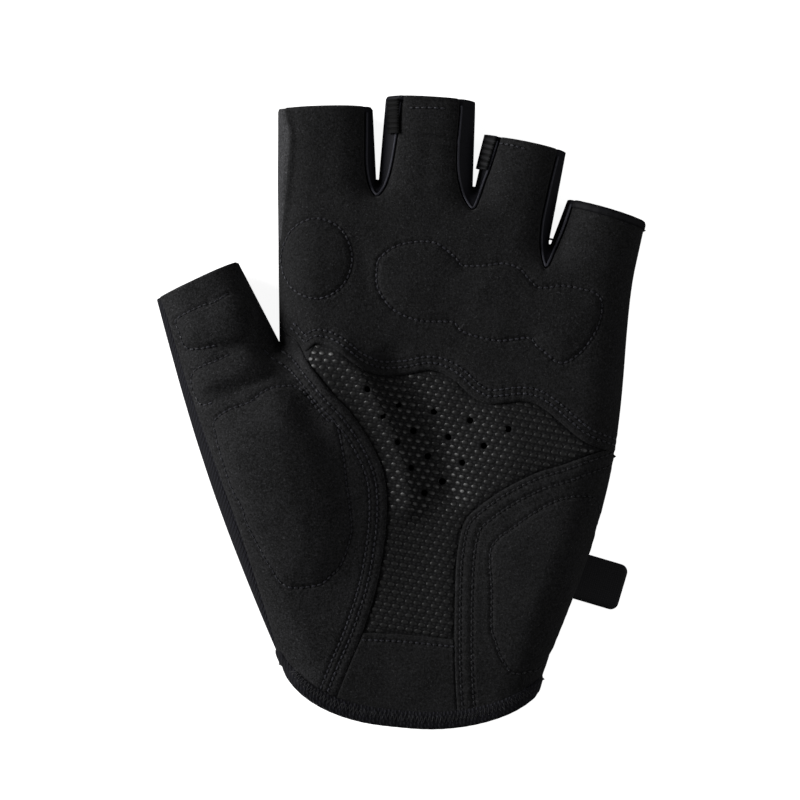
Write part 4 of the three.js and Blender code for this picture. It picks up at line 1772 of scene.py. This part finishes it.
@dataclass
class GripCentre:
    """Sunk mesh cloth in the middle of the palm, with silicone dots and air holes."""

    wall: float = 0.6
    sunk: float = 0.4
    under: float = 1.05
    tuck: float = 2.2
    dot_length: float = 1.98
    dot_width: float = 1.38
    dot_height: float = 0.17
    dot_lean: float = 11.0
    step_across: tuple = (2.34, -0.43)
    step_down: tuple = (-1.13, -1.73)
    vent: float = 1.55
    vent_step: tuple = (0.052, -0.0485)
    vent_rows: tuple = (
        (0.275, 0.608, 5), (0.379, 0.59, 4), (0.487, 0.59, 3), (0.601, 0.587, 2), (0.72, 0.585, 1),
    )
    vent_clear: float = 0.72
    seam_clear: float = 0.35
    dip_reach: float = 1.1
    outline_clear: float = 2.4
    cell: float = 0.45
    lattice_start: tuple = (2.0, 0.0)
    lattice_reach: tuple = (40, 60)
    dot_lift: float = 0.02
    slope_step: float = 0.3
    seams: tuple = (Seams.thumb, Seams.upper, Seams.outer, Seams.heel)
    panels: tuple = (Regions.thumb, Regions.upper, Regions.outer, Regions.heel)

    def vents(self) -> np.ndarray:
        """Finds the air holes' middles.

        Returns:
            Plan points.
        """
        step_across, step_along = self.vent_step
        return np.array([
            FORM.palm_point(across + step_across * k, along + step_along * k)
            for across, along, count in self.vent_rows for k in range(count)
        ])

    def covered(self, points: np.ndarray) -> np.ndarray:
        """Tells which plan points lie under one of the suede panels."""
        return np.any([region.holds(points) for region in self.panels], axis=0)

    def seam_gap(self, points: np.ndarray) -> np.ndarray:
        """Gives the plan points' distances to the nearest seam."""
        return np.min([line.measure(points).away for line in self.seams], axis=0)

    def height(self, points: np.ndarray) -> np.ndarray:
        """Gives how far the cloth lies under the plain form.

        Args:
            points: Plan points.

        Returns:
            Heights, which are below zero.
        """
        away = np.where(self.covered(points), 0.0, self.seam_gap(points))
        return -self.under + (self.under - self.sunk) * (1 - np.exp(-away / self.dip_reach))

    def build(self, finishes: Finishes) -> list[bpy.types.Object]:
        """Builds the cloth and its dots.

        Args:
            finishes: The glove's finishes.

        Returns:
            The pieces.
        """
        grip = GripRelief(self)
        vents = [ring(centre, self.vent / 2) for centre in self.vents()]
        corners = np.array([(-FAR, -FAR), (FAR, -FAR), (FAR, FAR), (-FAR, FAR)])
        drop = [self.inner(region) for region in self.panels] + [Regions.binding]
        maker = SheetMaker([PlanLine(corners, closed=True)], drop, self.cell, Face.PALM, vents,
                           self.outline_clear)
        cloth = Piece.finish("grip_mesh", maker.build(grip), finishes.grip, "grip",
                             ["grip_panel"], self.wall)
        Piece.declare_sheet(cloth)
        dots = Piece.finish("grip_dots", self.dots(grip, vents), finishes.rubber, "grip", [])
        return [cloth, dots]

    def inner(self, region: PlanLine) -> PlanLine:
        """Shrinks a panel's region, so that the cloth reaches under the panel's edge.

        Args:
            region: The panel's region.

        Returns:
            The smaller region.
        """
        shrunk = region.beside(self.tuck, 2.5)
        trial = shrunk.points[: len(shrunk.points) // 3]
        if region.holds(trial).mean() < 0.5:
            shrunk = region.beside(-self.tuck, 2.5)
        return shrunk

    def lattice(self, vents: list) -> np.ndarray:
        """Finds where the dots stand.

        Args:
            vents: Loops of the air holes.

        Returns:
            The dots' plan points.
        """
        across, down = (range(-reach, reach + 1) for reach in self.lattice_reach)
        start = np.array(self.lattice_start)
        steps = np.array(self.step_across), np.array(self.step_down)
        places = np.array([start + steps[0] * i + steps[1] * j for i in across for j in down])
        clear = FORM.outline.holds(places) & ~self.covered(places) & ~Regions.binding.holds(places)
        clear &= self.seam_gap(places) > self.seam_clear
        for hole in vents:
            away = np.hypot(*(places - hole.points[:-1].mean(axis=0)).T)
            clear &= away > self.vent * self.vent_clear
        return places[clear]

    def dots(self, grip: "GripRelief", vents: list) -> bmesh.types.BMesh:
        """Lays the oval dots over the cloth.

        Args:
            grip: The cloth's relief.
            vents: Loops of the air holes.

        Returns:
            The dots in millimetres.
        """
        places = self.lattice(vents)
        way = heading(self.dot_lean) * self.slope_step
        tops, ahead, above = (grip.lift(places + shift, self.dot_lift)
                              for shift in (0.0, right_of(way), way))
        size = Matrix.Diagonal((self.dot_length / 2, self.dot_width / 2, self.dot_height, 1.0))
        turns = []
        for top, east, north in zip(tops, ahead, above):
            x = Vector(east - top).normalized()
            z = x.cross(Vector(north - top)).normalized()
            turns.append(placed(x, z.cross(x), z, Vector(top)) @ size)
        shape = bmesh.new()
        bmesh.ops.create_uvsphere(shape, u_segments=10, v_segments=6, radius=1.0)
        return stamped(shape, turns)


class GripRelief(Relief):
    """Relief of the sunk cloth: it dips towards the seams."""

    def __init__(self, centre: GripCentre) -> None:
        """Stores the cloth that it belongs to."""
        super().__init__()
        self.centre = centre

    def height(self, points: np.ndarray) -> np.ndarray:
        """Gives the sunk cloth's height over the soft folds."""
        return self.centre.height(points) + TERRAIN.height(points)


class TuckedRelief(Relief):
    """Relief of a sheet whose border dips under the neighbouring panels."""

    dip_reach = 0.7

    def __init__(self, seen: PlanLine, outset: float, sink: float = 0.85) -> None:
        """Stores the sheet's visible region.

        Args:
            seen: Region that stays uncovered.
            outset: Shift outwards in its middle.
            sink: How much deeper its border lies.
        """
        super().__init__(outset=outset)
        self.seen = seen
        self.sink = sink

    def height(self, points: np.ndarray) -> np.ndarray:
        """Gives the height, lower from the region's edge outwards."""
        depth = np.where(self.seen.holds(points), self.seen.measure(points).away, 0.0)
        dip = self.sink * (1 - smooth_step(depth / self.dip_reach))
        return self.outset - dip + TERRAIN.height(points)


def grown(region: PlanLine, reach: float) -> PlanLine:
    """Widens a closed region by an even distance.

    Args:
        region: The loop to widen.
        reach: How far its border moves outwards.

    Returns:
        The wider loop.
    """
    sides = [region.beside(reach, 0.9), region.beside(-reach, 0.9)]
    return min(sides, key=lambda side: region.holds(side.points[:-1]).mean())


def ring(centre: np.ndarray, radius: float, count: int = 14) -> PlanLine:
    """Draws a small circle on the plan."""
    turns = np.linspace(0.0, 2 * math.pi, count, endpoint=False)
    return PlanLine(np.column_stack([np.cos(turns), np.sin(turns)]) * radius + centre, closed=True)


@dataclass
class Inserts:
    """Stretch inserts between the fingers, each with a thin piping line at the suede."""

    wall: float = 0.8
    sunk: float = 0.3
    tuck: float = 1.2
    piping: float = 0.6
    inset: float = 0.5
    piping_wall: float = 0.35
    piping_sunk: float = 0.22
    piping_rise: float = 0.3
    outline_clear: float = 0.3
    step: float = 0.4
    columns: int = 6
    slots: tuple = ("index_middle", "middle_ring", "ring_little")

    def build(self, finishes: Finishes) -> list[bpy.types.Object]:
        """Builds the inserts and their piping.

        Args:
            finishes: The glove's finishes.

        Returns:
            The pieces.
        """
        pieces = []
        for slot, region in zip(self.slots, SLOT_REGIONS):
            maker = SheetMaker([grown(region, self.tuck)], [], 0.5, Face.BOTH)
            insert = Piece.finish(
                f"insert_{slot}", maker.build(TuckedRelief(region, -self.sunk)), finishes.stretch,
                "stretch", [f"fourchette_{slot}"], self.wall,
            )
            Piece.declare_sheet(insert)
            piping = Piece.finish(f"piping_{slot}", self.cord(region), finishes.piping, "stretch",
                                  [], self.piping_wall)
            pieces += [insert, piping]
        return pieces

    def cord(self, region: PlanLine) -> bmesh.types.BMesh:
        """Lays the piping along the suede's edge round one insert.

        Args:
            region: The insert's plan region.

        Returns:
            The piping in millimetres.
        """
        border = region.points[:-1]
        clear = FORM.outline.measure(border).away > self.outline_clear
        line = PlanLine(border[FORM.outline.holds(border) & clear])
        sides = [line.beside(self.inset, 0.5), line.beside(-self.inset, 0.5)]
        inner = max(sides, key=lambda side: region.holds(side.points).mean())
        mesh = bmesh.new()
        bmesh.ops.create_grid(mesh, x_segments=self.columns,
                              y_segments=int(inner.length / self.step), size=0.5)
        shares = np.array([v.co[:2] for v in mesh.verts])
        feet, ways = inner.at((shares[:, 1] + 0.5) * inner.length)
        profile = np.sqrt(np.clip(1 - (2 * shares[:, 0]) ** 2, 0.0, 1.0))
        relief = Relief(outset=-self.piping_sunk)
        points = feet + left_of(ways) * shares[:, :1] * self.piping
        base, top = relief.lift(points), relief.lift(points, 1.0)
        for vert, low, high, rise in zip(mesh.verts, base, top, self.piping_rise * profile):
            vert.co = Vector(low + (high - low) * rise)
        look_up(mesh)
        return mesh


@dataclass
class IndexStrip:
    """Suede strip up the index finger's outer side, coloured pale as painted sheen where it faces
    the light.
    """

    wall: float = 0.9

    def build(self, finishes: Finishes) -> list[bpy.types.Object]:
        """Builds the strip.

        Args:
            finishes: The glove's finishes.

        Returns:
            The piece.
        """
        mesh = SheetMaker([INDEX_TUCK], [], 0.45).build(TuckedRelief(INDEX_STRIP, 0.0))
        # The strip's pale colour is painted sheen.
        strip = Piece.finish("index_strip_suede", mesh, finishes.sheen_painted_suede, "suede",
                             ["index_side_strip"], self.wall)
        Piece.declare_sheet(strip)
        return [strip]


@dataclass
class BackPanel:
    """Knit back of the glove, which wraps over the thumb's outer side."""

    wall: float = 1.0
    cell: float = 1.3
    strip_sunk: float = 0.05

    def build(self, finishes: Finishes) -> list[bpy.types.Object]:
        """Builds the back and the strip on the palm side.

        Args:
            finishes: The glove's finishes.

        Returns:
            The pieces.
        """
        drop = [Regions.under_binding, UNDER_EDGING] + SLOT_REGIONS
        mesh = SheetMaker([], drop, self.cell, Face.BACK).build(Relief())
        back = Piece.finish("back_knit", mesh, finishes.back_knit, "knit", ["back_panel"],
                            self.wall)
        Piece.declare_sheet(back)
        side = SheetMaker([SIDE_TUCK], [Regions.under_binding], 0.5)
        mesh = side.build(TuckedRelief(SIDE_STRIP, -self.strip_sunk))
        strip = Piece.finish("side_knit_strip", mesh, finishes.side_knit, "knit",
                             ["back_panel"], self.wall)
        Piece.declare_sheet(strip)
        return [back, strip]


class RolledRelief(Relief):
    """Relief of a folded edge band: full in the middle and rolled at both edges."""

    ripple = 0.08
    ripple_length = 2.9
    ripple_swing = 1.1
    ripple_drift = 6.1

    def __init__(self, line: PlanLine, width: float, outset: float, rise: float) -> None:
        """Stores the band.

        Args:
            line: The finished edge that the band lies along.
            width: The band's width.
            outset: How far its edges stand out.
            rise: How much fuller its middle is.
        """
        super().__init__()
        self.line = line
        self.width = width
        self.outset = outset
        self.rise = rise

    def height(self, points: np.ndarray) -> np.ndarray:
        """Gives the band's rolled profile."""
        found = self.line.measure(points)
        share = np.clip(found.away / self.width, 0.0, 1.0)
        drift = self.ripple_swing * np.sin(found.arc / self.ripple_drift)
        ripple = self.ripple * np.sin(2 * math.pi * found.arc / self.ripple_length + drift)
        roll = self.rise * (1 - (2 * share - 1) ** 4)
        return self.outset + roll + ripple + TERRAIN.height(points)


@dataclass
class Edgings:
    """Wrist binding and the little finger's hem tape, both folded over the cloth's edge."""

    width: float = BINDING_WIDTH
    wall: float = 1.4
    outset: float = 0.1
    rise: float = 0.45
    little_width: float = LITTLE_EDGING_WIDTH
    little_wall: float = 1.2
    little_outset: float = 0.05
    little_rise: float = 0.35
    thread: float = 0.3
    thread_rise: float = 0.04
    zigzag_pitch: float = 1.15
    zigzag_end: float = 2.0
    zigzag_low: float = 1.9
    zigzag_high: float = 3.9

    def build(self, finishes: Finishes) -> list[bpy.types.Object]:
        """Builds both edgings and the binding's zigzag stitches.

        Args:
            finishes: The glove's finishes.

        Returns:
            The pieces.
        """
        hem = PlanLine(FORM.hem)
        relief = RolledRelief(hem, self.width, self.outset, self.rise)
        mesh = SheetMaker([Regions.binding], [], 0.5, Face.BOTH).build(relief)
        binding = Piece.finish("wrist_edging", mesh, finishes.binding_knit, "knit",
                               ["wrist_binding"], self.wall)
        Piece.declare_sheet(binding)
        thimble = Thimble(relief, self.thread, self.thread_rise)
        self.zigzag(thimble, hem)
        stitches = thimble.finish("binding_stitches", finishes.dark_thread, "knit")
        tip = FORM.tips[3]
        relief = RolledRelief(PlanLine([tip.left, tip.right]), self.little_width,
                              self.little_outset, self.little_rise)
        mesh = SheetMaker([LITTLE_EDGING], [SLOT_REGIONS[2]], 0.45, Face.BOTH).build(relief)
        tape = Piece.finish("little_edging", mesh, finishes.edge_tape, "stretch",
                            ["little_hem_tape"], self.little_wall)
        Piece.declare_sheet(tape)
        return [binding, stitches, tape]

    def zigzag(self, thimble: Thimble, hem: PlanLine) -> None:
        """Sews the cover stitch that holds the binding.

        Args:
            thimble: Takes the stitches.
            hem: The wrist's finished edge.
        """
        count = int((hem.length - 2 * self.zigzag_end) / self.zigzag_pitch)
        arcs = np.linspace(self.zigzag_end, hem.length - self.zigzag_end, count)
        feet, ways = hem.at(arcs)
        inward = left_of(ways)
        low = feet + inward * self.zigzag_low
        high = feet + inward * self.zigzag_high + ways * self.zigzag_pitch * 0.5
        starts = thimble.relief.lift(low, thimble.rise)
        ends = thimble.relief.lift(high, thimble.rise)
        for start, end, following in zip(starts, ends, starts[1:]):
            thimble.stitch(Vector(start), Vector((start + end) / 2), Vector(end))
            thimble.stitch(Vector(end), Vector((end + following) / 2), Vector(following))


@dataclass
class PullTapes:
    """Ribbed pull tapes on the middle and ring fingers' ends."""

    thickness: float = 0.8
    lift: float = 0.95
    rib: float = 0.72
    rib_height: float = 0.07
    rib_steps: int = 6
    edge_drop: float = 0.25
    edge_share: float = 0.12
    columns: int = 6
    middle: tuple = ((389.5, 102.5), (400, 102.5), (400.5, 137), (390, 137))
    ring: tuple = ((487, 136.5), (497, 140), (487.5, 172.5), (478.5, 170.5))

    def build(self, finishes: Finishes) -> list[bpy.types.Object]:
        """Builds both tapes.

        Args:
            finishes: The glove's finishes.

        Returns:
            The pieces.
        """
        return [self.tape("middle", self.middle, finishes.middle_tape),
                self.tape("ring", self.ring, finishes.ring_tape)]

    def tape(self, finger: str, places: tuple, finish: bpy.types.Material) -> bpy.types.Object:
        """Builds one ribbed tape.

        Args:
            finger: Whose tape it is.
            places: Its four corners as measured.
            finish: Its finish.

        Returns:
            The piece.
        """
        corners = [np.array(pixel(*place)) for place in places]
        length = float(np.linalg.norm(corners[3] - corners[0]))
        mesh = bmesh.new()
        bmesh.ops.create_grid(mesh, x_segments=self.columns,
                              y_segments=int(length / self.rib * self.rib_steps), size=0.5)
        shares = np.array([v.co[:2] for v in mesh.verts]) + 0.5
        u, v = shares[:, :1], 1 - shares[:, 1:]
        upper = corners[0] * (1 - u) + corners[1] * u
        lower = corners[3] * (1 - u) + corners[2] * u
        spots = Relief().lift(upper * (1 - v) + lower * v, self.lift)
        spots[:, 2] += self.rib_height * np.cos(2 * math.pi * v[:, 0] * length / self.rib)
        spots[:, 2] -= self.edge_drop * bump(np.minimum(u[:, 0], 1 - u[:, 0]), self.edge_share)
        for vert, spot in zip(mesh.verts, spots):
            vert.co = Vector(spot)
        look_up(mesh)
        tape = Piece.finish(f"{finger}_ribbed_tape", mesh, finish, "tape",
                            [f"{finger}_pull_tape"], self.thickness)
        Piece.declare_sheet(tape)
        return tape


@dataclass
class WristStrap:
    """Closing strap that lies under the back and shows its rounded end."""

    thickness: float = 2.0
    corner: float = 2.2
    corner_steps: int = 7
    lip: float = 0.7
    lip_steps: int = 4
    clear: float = 0.02

    def build(self, finishes: Finishes) -> list[bpy.types.Object]:
        """Builds the strap as one rounded band.

        Args:
            finishes: The glove's finishes.

        Returns:
            The piece.
        """
        mesh = bmesh.new()
        bmesh.ops.create_cube(mesh, size=1.0)
        middle = FORM.strap_end - FORM.strap_ahead * FORM.strap_length / 2
        size = Matrix.Diagonal((FORM.strap_length, FORM.strap_width, self.thickness, 1.0))
        bmesh.ops.transform(mesh, matrix=size, verts=mesh.verts)
        for upright, offset, steps in ((True, self.corner, self.corner_steps),
                                       (False, self.lip, self.lip_steps)):
            edges = [e for e in mesh.edges if (self.fall(e) > self.thickness / 2) == upright]
            bmesh.ops.bevel(mesh, geom=edges, offset=offset, affect="EDGES", segments=steps,
                            profile=0.5, material=-1)
        turn = Matrix.Rotation(-math.atan2(-FORM.strap_ahead[1], FORM.strap_ahead[0]), 4, "Z")
        place = Matrix.Translation(Vector((*middle, self.thickness / 2 + self.clear)))
        bmesh.ops.transform(mesh, matrix=place @ turn, verts=mesh.verts)
        strap = Piece.finish("closing_strap", mesh, finishes.strap, "strap", ["wrist_strap"])
        return [strap]

    @staticmethod
    def fall(edge: bmesh.types.BMEdge) -> float:
        """Gives how far an edge rises or falls."""
        return abs(edge.verts[0].co.z - edge.verts[1].co.z)


@dataclass
class Studio:
    """White table, soft lights and the camera straight above."""

    lens: float = 100.0
    frame_width: float = 0.224
    centre: tuple = (-0.000444, 0.003051)
    camera_lift: float = 0.008
    sensor: float = 36.0
    key: tuple = ((-0.88, 0.26, 0.37), 0.5, 9.8)
    fill: tuple = ((0.8, -0.1, 0.55), 0.7, 1.65)
    world: float = 0.05
    table_size: float = 2.0
    table_grey: float = 0.95
    table_glow: float = 0.92

    def floor(self) -> None:
        """Lays the white table."""
        mesh = bmesh.new()
        bmesh.ops.create_grid(mesh, x_segments=1, y_segments=1, size=self.table_size)
        data = bpy.data.meshes.new("table")
        mesh.to_mesh(data)
        mesh.free()
        table = bpy.data.objects.new("table", data)
        bpy.context.scene.collection.objects.link(table)
        material = bpy.data.materials.new("white_table")
        material.use_nodes = True
        shader = material.node_tree.nodes["Principled BSDF"]
        shader.inputs["Base Color"].default_value = (*grey(self.table_grey), 1.0)
        shader.inputs["Roughness"].default_value = 1.0
        shader.inputs["Specular IOR Level"].default_value = 0.0
        shader.inputs["Emission Color"].default_value = (1.0, 1.0, 1.0, 1.0)
        shader.inputs["Emission Strength"].default_value = self.table_glow
        data.materials.append(material)
        table.visible_diffuse = False
        table.visible_glossy = False

    def light(self, name: str, place: tuple, size: float, power: float) -> None:
        """Hangs one soft light that faces the glove.

        Args:
            name: The light's name.
            place: Where it hangs, in metres.
            size: Its width in metres.
            power: Its power in watts.
        """
        lamp = bpy.data.lights.new(name, "AREA")
        lamp.shape = "SQUARE"
        lamp.size = size
        lamp.energy = power
        item = bpy.data.objects.new(name, lamp)
        item.location = place
        item.rotation_euler = (-Vector(place)).to_track_quat("-Z", "Y").to_euler()
        bpy.context.scene.collection.objects.link(item)

    def build(self) -> None:
        """Sets up the table, lights, world and camera."""
        self.floor()
        self.light("key", *self.key)
        self.light("fill", *self.fill)
        world = bpy.data.worlds.new("studio")
        world.use_nodes = True
        background = world.node_tree.nodes["Background"]
        background.inputs["Color"].default_value = (1.0, 1.0, 1.0, 1.0)
        background.inputs["Strength"].default_value = self.world
        bpy.context.scene.world = world
        bpy.context.scene.view_settings.view_transform = "Standard"
        lens = bpy.data.cameras.new("overhead")
        lens.lens = self.lens
        lens.sensor_width = self.sensor
        camera = bpy.data.objects.new("overhead", lens)
        distance = self.frame_width * self.lens / lens.sensor_width
        camera.location = (*self.centre, distance + self.camera_lift)
        bpy.context.scene.collection.objects.link(camera)
        bpy.context.scene.camera = camera


def main() -> None:
    """Builds the glove piece by piece and sets the studio round it."""
    logging.basicConfig(level=logging.INFO, format="%(relativeCreated)d %(message)s")
    Studio().build()
    finishes = Finishes()
    assemblies = (
        ThumbPanel(), UpperPanel(), OuterPanel(), HeelPanel(), GripCentre(), Inserts(),
        IndexStrip(), BackPanel(), Edgings(), PullTapes(), WristStrap(),
    )
    for assembly in assemblies:
        for piece in assembly.build(finishes):
            LOG.info("placed %s", piece.name)


if __name__ == "__main__":
    main()
